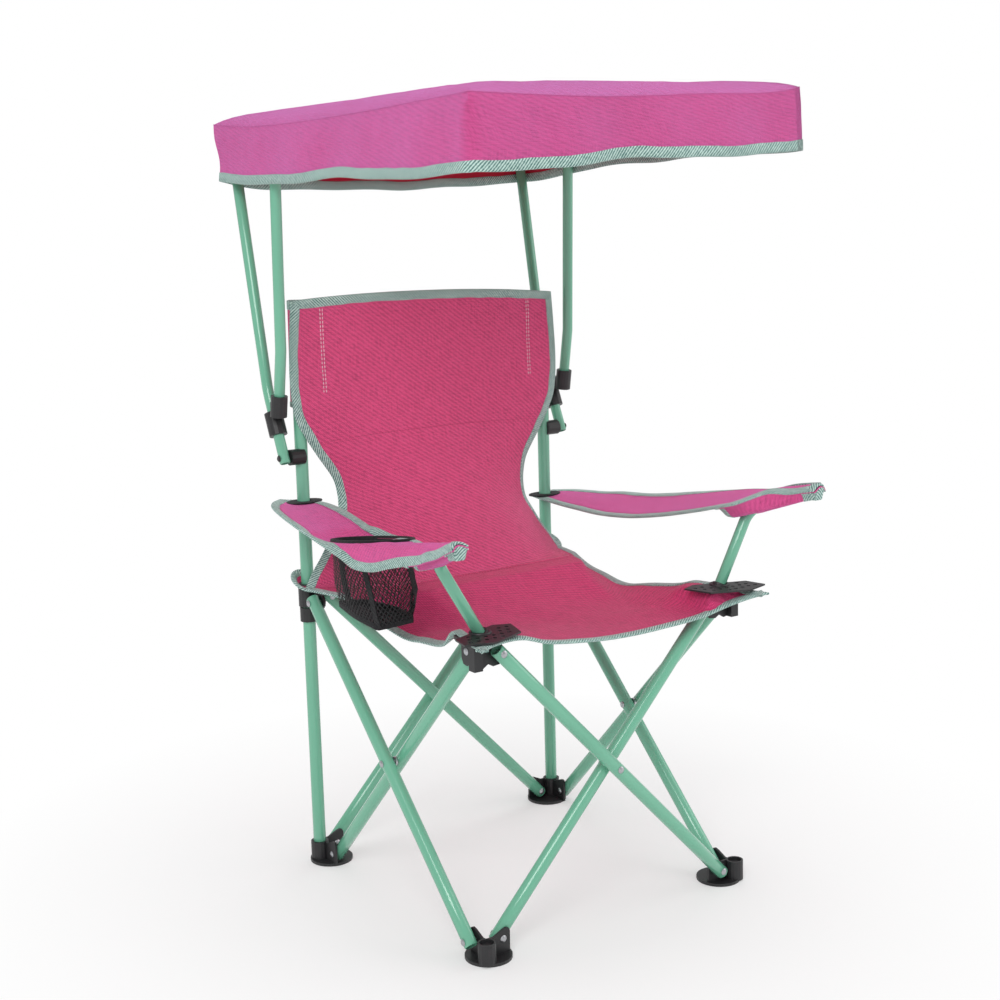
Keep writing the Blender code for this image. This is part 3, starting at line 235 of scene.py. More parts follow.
def cloth_material(name, warp, weft, period, sheen, lean, twill=0.17, slub=0.18, translucent=None, share=0.0,
                   rumple=0.0016, tint=None):
    """Woven cloth: threads, slanted twill lines, thicker yarns and soft wrinkles, with painted shade in the
    gaps between threads.
    """
    graph = Graph(name)
    height, top = weave(graph, period, period)
    place = graph.place()
    split = graph.add("ShaderNodeSeparateXYZ")
    graph.link(graph.flat(), split.inputs[0])
    along, up = split.outputs[0], split.outputs[1]
    drift = graph.noise(place, 45.0, 2.0)
    slope = math.radians(lean)
    phase = graph.math("ADD", graph.math("MULTIPLY", along, math.sin(slope)),
                       graph.math("MULTIPLY", up, math.cos(slope)))
    phase = graph.math("ADD", graph.math("MULTIPLY", phase, 2 * math.pi / TWILL_PERIOD),
                       graph.math("MULTIPLY", drift, 1.2))
    lines = graph.math("SINE", phase)
    yarn_values = []
    for first, second in ((60.0, 1000.0), (1000.0, 60.0)):
        stretch = graph.add("ShaderNodeCombineXYZ")
        graph.link(graph.math("MULTIPLY", along, first), stretch.inputs[0])
        graph.link(graph.math("MULTIPLY", up, second), stretch.inputs[1])
        yarn_values.append(graph.noise(stretch.outputs[0], 1.0, 1.0))
    yarn = graph.math("ADD", yarn_values[0], yarn_values[1])
    patch = graph.noise(place, 9.0, 3.0)
    base = graph.mix(top, weft, warp)
    # Painted shade: the weave's height lightens the thread tops and darkens the gaps between threads.
    shade = graph.math("MULTIPLY_ADD", height, 0.35, 0.70)
    shade = graph.math("MULTIPLY", shade, graph.math("MULTIPLY_ADD", patch, 0.20, 0.90))
    shade = graph.math("MULTIPLY", shade, graph.math("MULTIPLY_ADD", lines, twill, 1.0))
    shade = graph.math("MULTIPLY", shade, graph.math("MULTIPLY_ADD", yarn, 4 * slub, 1.0 - 4 * slub))
    graph.link(graph.mix(shade, (0, 0, 0, 1), base), graph.shader.inputs["Base Color"])
    graph.link(graph.math("MULTIPLY_ADD", height, -0.12, 0.88), graph.shader.inputs["Roughness"])
    graph.shader.inputs["Sheen Weight"].default_value = sheen
    graph.shader.inputs["Sheen Roughness"].default_value = 0.4
    if tint:
        graph.shader.inputs["Sheen Tint"].default_value = tint
    graph.shader.inputs["Specular IOR Level"].default_value = 0.3
    folds = graph.bump(graph.noise(place, 26.0, 3.0, 0.55), rumple, 0.8)
    ribs = graph.bump(lines, 0.00012, 0.6, folds)
    graph.link(graph.bump(height, 0.0002, 0.9, ribs), graph.shader.inputs["Normal"])
    if translucent:
        glow = graph.add("ShaderNodeBsdfTranslucent")
        glow.inputs["Color"].default_value = translucent
        blend = graph.add("ShaderNodeMixShader")
        blend.inputs[0].default_value = share
        graph.link(graph.shader.outputs[0], blend.inputs[1])
        graph.link(glow.outputs[0], blend.inputs[2])
        graph.link(blend.outputs[0], graph.output.inputs["Surface"])
    return graph.material


def tape_material(name, light, dark):
    """Woven binding tape: ribs across its length with light flecks, and painted shade in the grooves between
    ribs.
    """
    graph = Graph(name)
    split = graph.add("ShaderNodeSeparateXYZ")
    graph.link(graph.flat(), split.inputs[0])
    place = graph.place()
    slant = graph.math("ADD", split.outputs[0], split.outputs[1])
    slant = graph.math("MULTIPLY_ADD", slant, 2 * math.pi / RIB_PERIOD,
                       graph.math("MULTIPLY", graph.noise(place, 70.0), 1.5))
    rib = graph.math("MULTIPLY_ADD", graph.math("SINE", slant), 0.5, 0.5)
    cross = graph.math("ABSOLUTE",
                       graph.math("SINE", graph.math("MULTIPLY", split.outputs[1], math.pi / THREAD_PERIOD)))
    height = graph.math("MULTIPLY", rib, graph.math("MULTIPLY_ADD", cross, 0.3, 0.7))
    fleck = graph.noise(place, 420.0, 2.0, 0.7)
    patch = graph.noise(place, 14.0, 2.0)
    # The colour follows the rib height, darker down in the grooves: painted shade. The light flecks are random
    # noise.
    factor = graph.math("MULTIPLY_ADD", fleck, 1.5, graph.math("MULTIPLY_ADD", height, 1.0, -0.72))
    colour = graph.mix(factor, dark, light)
    tone = graph.mix(graph.math("MULTIPLY_ADD", patch, 0.3, 0.8), (0, 0, 0, 1), colour)
    graph.link(tone, graph.shader.inputs["Base Color"])
    graph.shader.inputs["Roughness"].default_value = 0.75
    graph.shader.inputs["Sheen Weight"].default_value = 0.25
    graph.link(graph.bump(height, 0.0003, 0.9), graph.shader.inputs["Normal"])
    return graph.material


def paint_material():
    graph = Graph("mint_paint")
    place = graph.place()
    tone = graph.noise(place, 12.0, 3.0)
    orange_peel = graph.noise(place, 420.0, 2.0)
    colour = graph.mix(tone, srgb(104, 176, 146), srgb(120, 190, 160))
    graph.link(colour, graph.shader.inputs["Base Color"])
    graph.link(graph.math("MULTIPLY_ADD", graph.noise(place, 60.0, 3.0), 0.10, 0.11),
               graph.shader.inputs["Roughness"])
    graph.shader.inputs["Coat Weight"].default_value = 0.35
    graph.shader.inputs["Coat Roughness"].default_value = 0.12
    graph.link(graph.bump(orange_peel, 0.00008, 0.5), graph.shader.inputs["Normal"])
    return graph.material


def plastic_material(name, dark, light, rough=0.42):
    graph = Graph(name)
    place = graph.place()
    grain = graph.noise(place, 1400.0, 2.0)
    scuff = graph.noise(place, 55.0, 5.0, 0.65)
    colour = graph.mix(graph.math("POWER", scuff, 2.0), dark, light)
    graph.link(colour, graph.shader.inputs["Base Color"])
    graph.link(graph.math("MULTIPLY_ADD", scuff, 0.25, rough - 0.1), graph.shader.inputs["Roughness"])
    graph.link(graph.bump(grain, 0.00010, 0.6), graph.shader.inputs["Normal"])
    return graph.material


def steel_material():
    graph = Graph("rivet_metal")
    place = graph.place()
    brush = graph.noise(place, 900.0, 3.0, 0.6)
    graph.link(graph.mix(brush, srgb(150, 152, 156), srgb(205, 206, 210)), graph.shader.inputs["Base Color"])
    graph.shader.inputs["Metallic"].default_value = 1.0
    graph.link(graph.math("MULTIPLY_ADD", brush, 0.2, 0.22), graph.shader.inputs["Roughness"])
    graph.link(graph.bump(brush, 0.00005, 0.4), graph.shader.inputs["Normal"])
    return graph.material


def net_material():
    """Black net of elongated cells, open between its strands."""
    graph = Graph("cup_net")
    split = graph.add("ShaderNodeSeparateXYZ")
    graph.link(graph.flat(), split.inputs[0])
    wide = graph.math("MULTIPLY", split.outputs[0], math.pi / NET_WIDTH)
    tall = graph.math("MULTIPLY", split.outputs[1], math.pi / NET_HEIGHT)
    first = graph.math("ABSOLUTE", graph.math("SINE", graph.math("ADD", wide, tall)))
    second = graph.math("ABSOLUTE", graph.math("SINE", graph.math("SUBTRACT", wide, tall)))
    nearest = graph.math("MINIMUM", first, second)
    knot = graph.math("ADD", first, second)
    strand = graph.math("LESS_THAN", nearest, 0.27)
    blob = graph.math("LESS_THAN", knot, 0.60)
    graph.link(graph.math("MAXIMUM", strand, blob), graph.shader.inputs["Alpha"])
    graph.link(graph.mix(graph.noise(graph.place(), 500.0), srgb(14, 14, 16), srgb(44, 42, 46)),
               graph.shader.inputs["Base Color"])
    graph.shader.inputs["Roughness"].default_value = 0.7
    graph.link(graph.bump(graph.math("SUBTRACT", 1.0, nearest), 0.0004, 0.8), graph.shader.inputs["Normal"])
    return graph.material


PAINT = paint_material()
PLASTIC = plastic_material("black_plastic_moulded", srgb(26, 26, 28), srgb(58, 58, 60))
STEEL = steel_material()
SLING = cloth_material("sling_weave", srgb(208, 52, 106), srgb(248, 108, 162), 0.00085, 0.12, 35)
SLING_SEAT = cloth_material("seat_weave", srgb(200, 40, 98), srgb(246, 88, 148), 0.00085, 0.12, 8, twill=0.12)
ARM_CLOTH = cloth_material("arm_weave", srgb(220, 64, 134), srgb(246, 112, 176), 0.00070, 0.5, 20, twill=0.08,
                           slub=0.16, tint=srgb(240, 170, 250))
CANOPY_TOP = cloth_material("canopy_weave", srgb(216, 70, 144), srgb(240, 110, 176), 0.00060, 1.0, 20,
                            twill=0.08, slub=0.15,
                            translucent=srgb(240, 60, 120), share=0.10, rumple=0.0014, tint=srgb(240, 175, 255))
# Inside of the canopy: a redder copy of the canopy cloth. Its colour is painted light standing in for light
# shining through the cloth, on top of its real translucency.
CANOPY_INSIDE = cloth_material("canopy_inside_painted_backlight", srgb(206, 36, 66), srgb(226, 62, 92), 0.00060, 0.1, 20,
                               twill=0.05, slub=0.10,
                               translucent=srgb(236, 40, 70), share=0.35, rumple=0.0012)
TAPE = tape_material("binding_tape", srgb(206, 232, 224), srgb(54, 108, 102))
THREAD = plastic_material("white_thread", srgb(225, 215, 220), srgb(250, 245, 248), 0.7)
PINK_THREAD = plastic_material("pink_thread", srgb(168, 46, 92), srgb(206, 96, 134), 0.7)
BLACK_TAPE = cloth_material("black_tape", srgb(18, 18, 20), srgb(42, 42, 46), 0.0007, 0.1, 45, rumple=0.0004)
NET = net_material()


# Mesh helpers.
def smooth_step(value):
    value = min(max(value, 0.0), 1.0)
    return value * value * (3 - 2 * value)


def lerp(first, second, share):
    return first + (second - first) * share


def column_at(table, column, spot):
    """Smooth value of one column of a table at a row number."""
    return curve_value([(row, values[column]) for row, values in enumerate(table)], spot)


def curve_value(table, position):
    """Catmull-Rom through (position, value) pairs."""
    if position <= table[0][0]:
        return table[0][1]
    if position >= table[-1][0]:
        return table[-1][1]
    index = max(i for i in range(len(table) - 1) if table[i][0] <= position)
    p1, v1 = table[index]
    p2, v2 = table[index + 1]
    p0, v0 = table[index - 1] if index else (2 * p1 - p2, 2 * v1 - v2)
    p3, v3 = table[index + 2] if index + 2 < len(table) else (2 * p2 - p1, 2 * v2 - v1)
    share = (position - p1) / (p2 - p1)
    slope1 = (v2 - v0) / (p2 - p0) * (p2 - p1)
    slope2 = (v3 - v1) / (p3 - p1) * (p2 - p1)
    s2, s3 = share * share, share ** 3
    return ((2 * s3 - 3 * s2 + 1) * v1 + (s3 - 2 * s2 + share) * slope1 + (3 * s2 - 2 * s3) * v2
            + (s3 - s2) * slope2)


def mesh_object(name, points, faces, materials, uvs=None, slots=None, smooth=True, angle=40):
    mesh = bpy.data.meshes.new(name)
    mesh.from_pydata(points, [], faces)
    if uvs is not None:
        layer = mesh.uv_layers.new(name="UVMap")
        for loop in mesh.loops:
            layer.data[loop.index].uv = uvs[loop.vertex_index]
    if not isinstance(materials, (list, tuple)):
        materials = [materials]
    for material in materials:
        mesh.materials.append(material)
    if slots is not None:
        mesh.polygons.foreach_set("material_index", slots)
    work = bmesh.new()
    work.from_mesh(mesh)
    bmesh.ops.recalc_face_normals(work, faces=work.faces)
    work.to_mesh(mesh)
    work.free()
    mesh.polygons.foreach_set("use_smooth", [smooth] * len(mesh.polygons))
    if smooth:
        mesh.set_sharp_from_angle(angle=math.radians(angle))
    made = bpy.data.objects.new(name, mesh)
    bpy.context.scene.collection.objects.link(made)
    return made


def grid_normals(rows, wrap=False):
    count, width = len(rows), len(rows[0])
    normals = []
    for row in range(count):
        line = []
        for column in range(width):
            if wrap:
                right, left = rows[row][(column + 1) % width], rows[row][column - 1]
            else:
                right, left = rows[row][min(column + 1, width - 1)], rows[row][max(column - 1, 0)]
            above, below = rows[min(row + 1, count - 1)][column], rows[max(row - 1, 0)][column]
            line.append((right - left).cross(above - below).normalized())
        normals.append(line)
    return normals


def flat_uvs(rows):
    """UVs in metres along the rows and columns of a grid, even about its middle column."""
    count, width = len(rows), len(rows[0])
    middle = width // 2
    down = [0.0]
    for row in range(1, count):
        down.append(down[-1] + (rows[row][middle] - rows[row - 1][middle]).length)
    uv = []
    for row in range(count):
        run = 0.0
        line = []
        for column in range(width):
            if column:
                run += (rows[row][column] - rows[row][column - 1]).length
            line.append(run)
        offset = line[middle]
        uv += [(value - offset + 1.0, down[row] + 1.0) for value in line]
    return uv


def cloth_sheet(name, rows, materials, thickness=CLOTH, wrap=False, cap=False):
    """Sheet of even thickness round a grid of middle points, with UVs in metres along its rows and columns.
    Returns the object and the area of its middle surface."""
    count, width = len(rows), len(rows[0])
    normals = grid_normals(rows, wrap)
    half = thickness / 2
    upper = [p + half * n for line, ns in zip(rows, normals) for p, n in zip(line, ns)]
    lower = [p - half * n for line, ns in zip(rows, normals) for p, n in zip(line, ns)]
    uv = flat_uvs(rows)
    total = count * width
    faces, slots = [], []
    area = 0.0
    spans = width if wrap else width - 1
    for row in range(count - 1):
        for column in range(spans):
            a = row * width + column
            b = row * width + (column + 1) % width
            c, d = b + width, a + width
            faces.append((a, b, c, d))
            faces.append((d + total, c + total, b + total, a + total))
            slots += [0, 1]
            pa, pb, pc, pd = (rows[row][column], rows[row][(column + 1) % width],
                              rows[row + 1][(column + 1) % width], rows[row + 1][column])
            area += ((pb - pa).cross(pd - pa).length + (pc - pb).cross(pd - pc).length) / 2
    def rim(line):
        for index in range(len(line) - 1):
            faces.append((line[index + 1], line[index], line[index] + total, line[index + 1] + total))
            slots.append(0)
    if wrap:
        last = [(count - 1) * width + c for c in range(width)] + [(count - 1) * width]
        rim(last)
        if not cap:
            rim((list(range(width)) + [0])[::-1])
    else:
        edge = list(range(width)) + [r * width + width - 1 for r in range(1, count)]
        edge += ([(count - 1) * width + c for c in range(width - 2, -1, -1)]
                 + [r * width for r in range(count - 2, -1, -1)])
        rim(edge)
    points = upper + lower
    if cap:
        faces.append(tuple(range(width))[::-1])
        faces.append(tuple(index + total for index in range(width)))
        slots += [0, 1]
    if not isinstance(materials, (list, tuple)):
        materials = [materials, materials]
    slots = [min(slot, len(materials) - 1) for slot in slots]
    made = mesh_object(name, points, faces, materials, uv + uv, slots, angle=60)
    return made, area


def frames_along(points, closed=False):
    """Unit tangents of a path."""
    count = len(points)
    tangents = []
    for index in range(count):
        if closed:
            tangents.append((points[(index + 1) % count] - points[index - 1]).normalized())
        else:
            tangents.append((points[min(index + 1, count - 1)] - points[max(index - 1, 0)]).normalized())
    return tangents


def band(name, points, inward, normals, width, thick, material, closed=False, bulge=0.0006, wave=0.0):
    """Binding folded over a sheet's edge: width into the sheet on both faces, thick out of each face."""
    profile = ((width, thick * 0.55), (width * 0.92, thick), (width * 0.5, thick * 1.08), (0.0, thick),
               (-bulge * 0.8, thick * 0.6), (-bulge, 0.0), (-bulge * 0.8, -thick * 0.6), (0.0, -thick),
               (width * 0.5, -thick * 1.08), (width * 0.92, -thick), (width, -thick * 0.55))
    around = [0.0]
    for first, second in zip(profile, profile[1:]):
        around.append(around[-1] + math.hypot(second[0] - first[0], second[1] - first[1]))
    verts, uv = [], []
    run = 0.0
    for index, (point, into, normal) in enumerate(zip(points, inward, normals)):
        if index:
            run += (points[index] - points[index - 1]).length
        ripple = 1 + wave * noise.noise(point * 55)
        for (reach, rise), turn in zip(profile, around):
            verts.append(point + into * reach * (ripple if reach > 0 else 1) + normal * rise)
            uv.append((run, turn))
    size = len(profile)
    faces = []
    spans = len(points) if closed else len(points) - 1
    for index in range(spans):
        low, high = index * size, ((index + 1) % len(points)) * size
        for k in range(size):
            following = (k + 1) % size
            faces.append((low + k, low + following, high + following, high + k))
    if not closed:
        faces.append(tuple(range(size)))
        faces.append(tuple(range((len(points) - 1) * size, len(points) * size)))
    return mesh_object(name, verts, faces, material, uv, angle=50)


def border(rows, sides, closed=False):
    """Edge points of a grid along the named sides, with directions into the sheet and its normals."""
    normals = grid_normals(rows)
    last, wide = len(rows) - 1, len(rows[0]) - 1
    walks = {
        "first": [(0, c) for c in range(wide + 1)],
        "last": [(last, c) for c in range(wide + 1)],
        "last_back": [(last, c) for c in range(wide, -1, -1)],
        "left_up": [(r, 0) for r in range(last + 1)],
        "left_down": [(r, 0) for r in range(last, -1, -1)],
        "right_up": [(r, wide) for r in range(last + 1)],
        "right_down": [(r, wide) for r in range(last, -1, -1)],
    }
    marks = []
    for side in sides:
        marks += [mark for mark in walks[side] if not marks or mark != marks[-1]]
    if closed and marks[0] == marks[-1]:
        marks.pop()
    points = [rows[r][c] for r, c in marks]
    inward, out_normals = [], []
    for (r, c), tangent in zip(marks, frames_along(points, closed)):
        into = rows[min(max(r, 1), last - 1)][min(max(c, 1), wide - 1)] - rows[r][c]
        into = (into - into.dot(tangent) * tangent).normalized()
        normal = normals[r][c]
        inward.append(into)
        out_normals.append((normal - normal.dot(tangent) * tangent - normal.dot(into) * into).normalized())
    return points, inward, out_normals


def bind(name, rows, sides, width, thick, material, wave=0.0, closed=False):
    """Binding tape folded over the named sides of a grid."""
    points, inward, normals = border(rows, sides, closed)
    return band(name, points, inward, normals, width, thick, material, closed=closed, wave=wave)


def resample(points, spacing):
    """Points at even spacing along a path."""
    lengths = [0.0]
    for first, second in zip(points, points[1:]):
        lengths.append(lengths[-1] + (second - first).length)
    total = lengths[-1]
    count = max(int(total / spacing), 1)
    out, index = [], 0
    for step in range(count + 1):
        target = total * step / count
        while index < len(lengths) - 2 and lengths[index + 1] < target:
            index += 1
        span = lengths[index + 1] - lengths[index]
        share = (target - lengths[index]) / span if span else 0
        out.append(points[index].lerp(points[index + 1], share))
    return out


# A stitch from end to end: share of its length, share of its radius, lift in radii.
STITCH_SHAPE = ((0.0, 0.3, -0.4), (0.18, 0.9, 0.3), (0.5, 1.0, 0.6), (0.82, 0.9, 0.3), (1.0, 0.3, -0.4))


def stitches(name, path, normals_at, length, gap, radius, material):
    """Row of single stitches along a path; normals_at gives the surface normal at a point."""
    verts, faces = [], []
    step = length + gap
    marks = resample(path, step)
    sides = 6
    spans = len(STITCH_SHAPE) - 1
    for first, second in zip(marks, marks[1:]):
        direction = (second - first).normalized()
        normal = normals_at(first)
        side = direction.cross(normal).normalized()
        end = first + direction * length
        base = len(verts)
        for share, scale, lift in STITCH_SHAPE:
            centre = first.lerp(end, share) + normal * radius * lift
            for k in range(sides):
                turn = 2 * math.pi * k / sides
                verts.append(centre + scale * radius * (math.cos(turn) * side + math.sin(turn) * normal))
        for level in range(spans):
            for k in range(sides):
                a = base + level * sides + k
                b = base + level * sides + (k + 1) % sides
                faces.append((a, b, b + sides, a + sides))
        faces.append(tuple(base + k for k in range(sides))[::-1])
        faces.append(tuple(base + spans * sides + k for k in range(sides)))
    return mesh_object(name, verts, faces, material, [(v.x, v.z) for v in verts])


def fine_stitches(name, path, facing):
    """Fine pink stitches on a face that looks towards facing."""
    return stitches(name, path, lambda p: facing, 0.0024, 0.0010, 0.00026, PINK_THREAD)


def circle(centre, radius, first, second, sides):
    """Points of a circle in the plane of two unit vectors."""
    turns = [2 * math.pi * k / sides for k in range(sides)]
    return [centre + radius * (math.cos(turn) * first + math.sin(turn) * second) for turn in turns]


def path_rings(points, radii, sides):
    """Circles of points along a path, without twist."""
    tangents = frames_along(points)
    helper = Vector((0, 0, 1)) if abs(tangents[0].z) < 0.8 else Vector((0, 1, 0))
    first = tangents[0].cross(helper).normalized()
    rings = []
    for point, tangent, radius in zip(points, tangents, radii):
        first = (first - first.dot(tangent) * tangent).normalized()
        second = tangent.cross(first)
        rings.append(circle(point, radius, first, second, sides))
    return rings


def ring_mesh(name, rings, material, closed=False, caps=True, angle=40):
    sides = len(rings[0])
    verts = [p for one in rings for p in one]
    faces, uv = [], []
    run = 0.0
    for index, one in enumerate(rings):
        if index:
            run += (rings[index][0] - rings[index - 1][0]).length
        uv += [(run, k / sides * 0.04) for k in range(sides)]
    spans = len(rings) if closed else len(rings) - 1
    for level in range(spans):
        low, high = level * sides, ((level + 1) % len(rings)) * sides
        for k in range(sides):
            following = (k + 1) % sides
            faces.append((low + k, low + following, high + following, high + k))
    if not closed and caps:
        faces.append(tuple(range(sides))[::-1])
        faces.append(tuple(range((len(rings) - 1) * sides, len(rings) * sides)))
    return mesh_object(name, verts, faces, material, uv, angle=angle)


def pipe(name, points, radius, wall, material=None, sides=28):
    """Open tube with rolled lips at both ends."""
    lip = 0.0007
    start = (points[1] - points[0]).normalized()
    end = (points[-1] - points[-2]).normalized()
    run = [points[0], points[0] + lip * start] + list(points[1:-1]) + [points[-1] - lip * end, points[-1]]
    outer = path_rings(run,
                       [radius - lip * 0.8, radius] + [radius] * (len(run) - 4)
                       + [radius, radius - lip * 0.8], sides)
    inner = path_rings(run, [radius - wall] * len(run), sides)
    return ring_mesh(name, outer + inner[::-1], material or PAINT, closed=True)


def rounded_path(corners, radius, steps=10):
    points = [corners[0]]
    for index in range(1, len(corners) - 1):
        corner = corners[index]
        back = (corners[index - 1] - corner).normalized()
        ahead = (corners[index + 1] - corner).normalized()
        half = back.angle(ahead) / 2
        reach = radius / math.tan(half)
        middle = corner + (back + ahead).normalized() * (radius / math.sin(half))
        start = (corner + reach * back - middle).normalized()
        end = (corner + reach * ahead - middle).normalized()
        points += [middle + radius * start.slerp(end, step / steps) for step in range(steps + 1)]
    points.append(corners[-1])
    return points


def dress(piece, body, *nodes, slot=None):
    if nodes:
        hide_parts(*nodes)
    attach(piece, body)
    return piece


# Frame geometry, from the same values as the solids.
def scissor_centre():
    rise = math.cos(OPEN_ANGLE) * math.sin(LEAN) + math.sin(OPEN_ANGLE) * math.cos(LEAN)
    return at(0, 0, 0.0120 + ARM_REACH * rise)


def side_pin(place, x=0.0):
    along, lift = math.cos(OPEN_ANGLE) * BACK, math.sin(OPEN_ANGLE) * UP
    ways = {"centre": 0 * along, "foot_rear": ARM_REACH * (along - lift),
            "slider": ARM_REACH * (along + lift),
            "foot_front": -ARM_REACH * (along + lift), "hub": -ARM_REACH * (along - lift)}
    return scissor_centre() + ways[place] + x * ACROSS


def cross_pin(row, level, side):
    base = REAR_PLANE_Y if row == "rear" else FRONT_PLANE_Y
    height = side_pin("foot_rear").z if row == "rear" else side_pin("foot_front").z
    start = at(0, base + height * math.tan(LEAN), height)
    return start + ARM_REACH * (side * math.cos(OPEN_ANGLE) * ACROSS + 2 * level * math.sin(OPEN_ANGLE) * UP)


def post_point(side, height):
    return at(side * POST_X, POST_FOOT_Y + height * math.tan(LEAN), height)


def cross_tube(name, start, end, body):
    along = (end - start).normalized()
    a, b = start - END_REACH * along, end + END_REACH * along
    points = [a.lerp(b, k / 6) for k in range(7)]
    dress(pipe(name + "_paint", points, TUBE_R, TUBE_WALL), body, name, slot="painted_steel_tube")


def make_tubes():
    for side in (LEFT, RIGHT):
        word = SIDE[side]
        rising, falling = side * PLANE_X + TUBE_OFFSET, side * PLANE_X - TUBE_OFFSET
        cross_tube(f"side_tube_rising_{word}", side_pin("foot_rear", rising), side_pin("hub", rising),
                   f"side_tube_rising_{word}")
        cross_tube(f"side_tube_falling_{word}", side_pin("slider", falling), side_pin("foot_front", falling),
                   f"side_tube_falling_{word}")
        post = pipe(f"rear_post_{word}_paint",
                    [post_point(side, POST_FOOT + k * (POST_TOP - POST_FOOT) / 8) for k in range(9)],
                    TUBE_R, TUBE_WALL)
        dress(post, f"rear_frame_{word}", f"rear_post_{word}", slot="painted_steel_tube")
    for row in ("rear", "front"):
        offset = TUBE_OFFSET * BACK
        cross_tube(f"{row}_tube_rising", cross_pin(row, 0, LEFT) + offset, cross_pin(row, 1, RIGHT) + offset,
                   f"{row}_tube_rising")
        cross_tube(f"{row}_tube_falling", cross_pin(row, 1, LEFT) - offset, cross_pin(row, 0, RIGHT) - offset,
                   f"{row}_tube_falling")


HUB_TOP = side_pin("hub").z + 0.0107


def arm_corners(side):
    bend = at(side * 0.1856, -0.1355, 0.374)
    base = at(side * 0.139, -0.139, HUB_TOP)
    return [base + 0.005 * (bend - base).normalized(), bend, at(side * 0.2076, -0.200, 0.397)]


def seam_height(y):
    return lerp(0.7605, 0.7475, (y + 0.200) / 0.4205)


def rear_arm_corners(side):
    return [at(side * 0.174, 0.153, 0.4275), at(side * 0.174, 0.1815, 0.492),
            at(side * 0.177, 0.2310, 0.7475 - ARM_DROP)]


def front_arm_corners(side):
    x = side * 0.178
    return [at(x, 0.153, 0.4725), at(x, 0.1435, 0.535), at(x, 0.140, seam_height(0.140) - ARM_DROP),
            at(x, -0.190, seam_height(-0.190) - ARM_DROP)]


def make_bent_tubes():
    for side in (LEFT, RIGHT):
        word = SIDE[side]
        arm = pipe(f"arm_post_{word}_paint", rounded_path(arm_corners(side), 0.022), ARM_R, ARM_WALL,
                   sides=24)
        dress(arm, f"hub_{word}", f"arm_post_{word}", slot="painted_steel_tube")
        for kind, corners, past, radius in (("rear", rear_arm_corners(side), END_REACH, 0.090),
                                            ("front", front_arm_corners(side), 0.0, 0.030)):
            down = (corners[0] - corners[1]).normalized()
            path = rounded_path([corners[0] + past * down] + corners[1:], radius)
            made = pipe(f"canopy_{kind}_arm_{word}_paint", path, ARM_R, ARM_WALL, sides=24)
            dress(made, f"canopy_frame_{word}", f"canopy_{kind}_arm_{word}", slot="painted_steel_tube")


def make_rivets():
    """Domed rivets with a washer, on the axis and length of each solid."""
    for name, node in frame["nodes"].items():
        if not name.startswith("rivet_"):
            continue
        low, high = (Vector(corner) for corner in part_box(name))
        centre, size = (low + high) / 2, high - low
        along_x = size.x > size.y
        axis = ACROSS if along_x else BACK
        half = (size.x if along_x else size.y) / 2
        dome = 0.0012
        inner = half - dome
        first, second = (Vector((0, 1, 0)), Vector((0, 0, 1))) if along_x else (ACROSS, UP)
        profile = [(-half, 0.0004), (-half + 0.0002, 0.0016), (-half + 0.0006, 0.0027), (-inner, 0.0034),
                   (-inner, 0.0020)]
        if "centre" in name:
            profile += [(-0.0012, 0.0020), (-0.0012, 0.0045), (0.0012, 0.0045), (0.0012, 0.0020)]
        profile += [(-distance, radius) for distance, radius in reversed(profile[:5])]
        rings = [circle(centre + distance * axis, radius, first, second, 20) for distance, radius in profile]
        piece = ring_mesh(name + "_metal", rings, STEEL, angle=35)
        dress(piece, body_of(node)[0], name, slot="rivet_steel")


make_tubes()
make_bent_tubes()
make_rivets()


# Backrest: height and y of the middle, half width, height and y of the side edge.
BACK_TABLE = (
    (0.3070, 0.0500, 0.1620, 0.2935, 0.1400), (0.3080, 0.0540, 0.1590, 0.2965, 0.1435),
    (0.3180, 0.0610, 0.1500, 0.3095, 0.1450), (0.3320, 0.0720, 0.1395, 0.3230, 0.1462),
    (0.3490, 0.0860, 0.1285, 0.3400, 0.1470), (0.3640, 0.0985, 0.1195, 0.3550, 0.1475),
    (0.3790, 0.1085, 0.1165, 0.3700, 0.1480), (0.3940, 0.1170, 0.1170, 0.3850, 0.1480),
    (0.4110, 0.1245, 0.1220, 0.4025, 0.1480), (0.4340, 0.1330, 0.1385, 0.4270, 0.1483),
    (0.4510, 0.1390, 0.1500, 0.4450, 0.1487), (0.4690, 0.1430, 0.1605, 0.4650, 0.1495),
    (0.4870, 0.1455, 0.1640, 0.4850, 0.1500), (0.5060, 0.1470, 0.1650, 0.5050, 0.1505),
    (0.5255, 0.1480, 0.1645, 0.5250, 0.1510), (0.5550, 0.1490, 0.1625, 0.5550, 0.1515),
    (0.5862, 0.1495, 0.1605, 0.5800, 0.1520),
)
BACK_SEAM_Z = 0.444
SLEEVE_LOW = 0.478
SLEEVE_INNER_X = 0.1275
STITCH_ROWS_X = (0.1262, 0.1290)
SEAM_SHARE = 0.62
SEAM_HALF = 0.162


def seat_seam(share):
    turn = smooth_step((abs(share) - SEAM_SHARE) / (1 - SEAM_SHARE))
    return at(share * SEAM_HALF, lerp(0.050, 0.140, turn), lerp(0.305, 0.2935, turn))


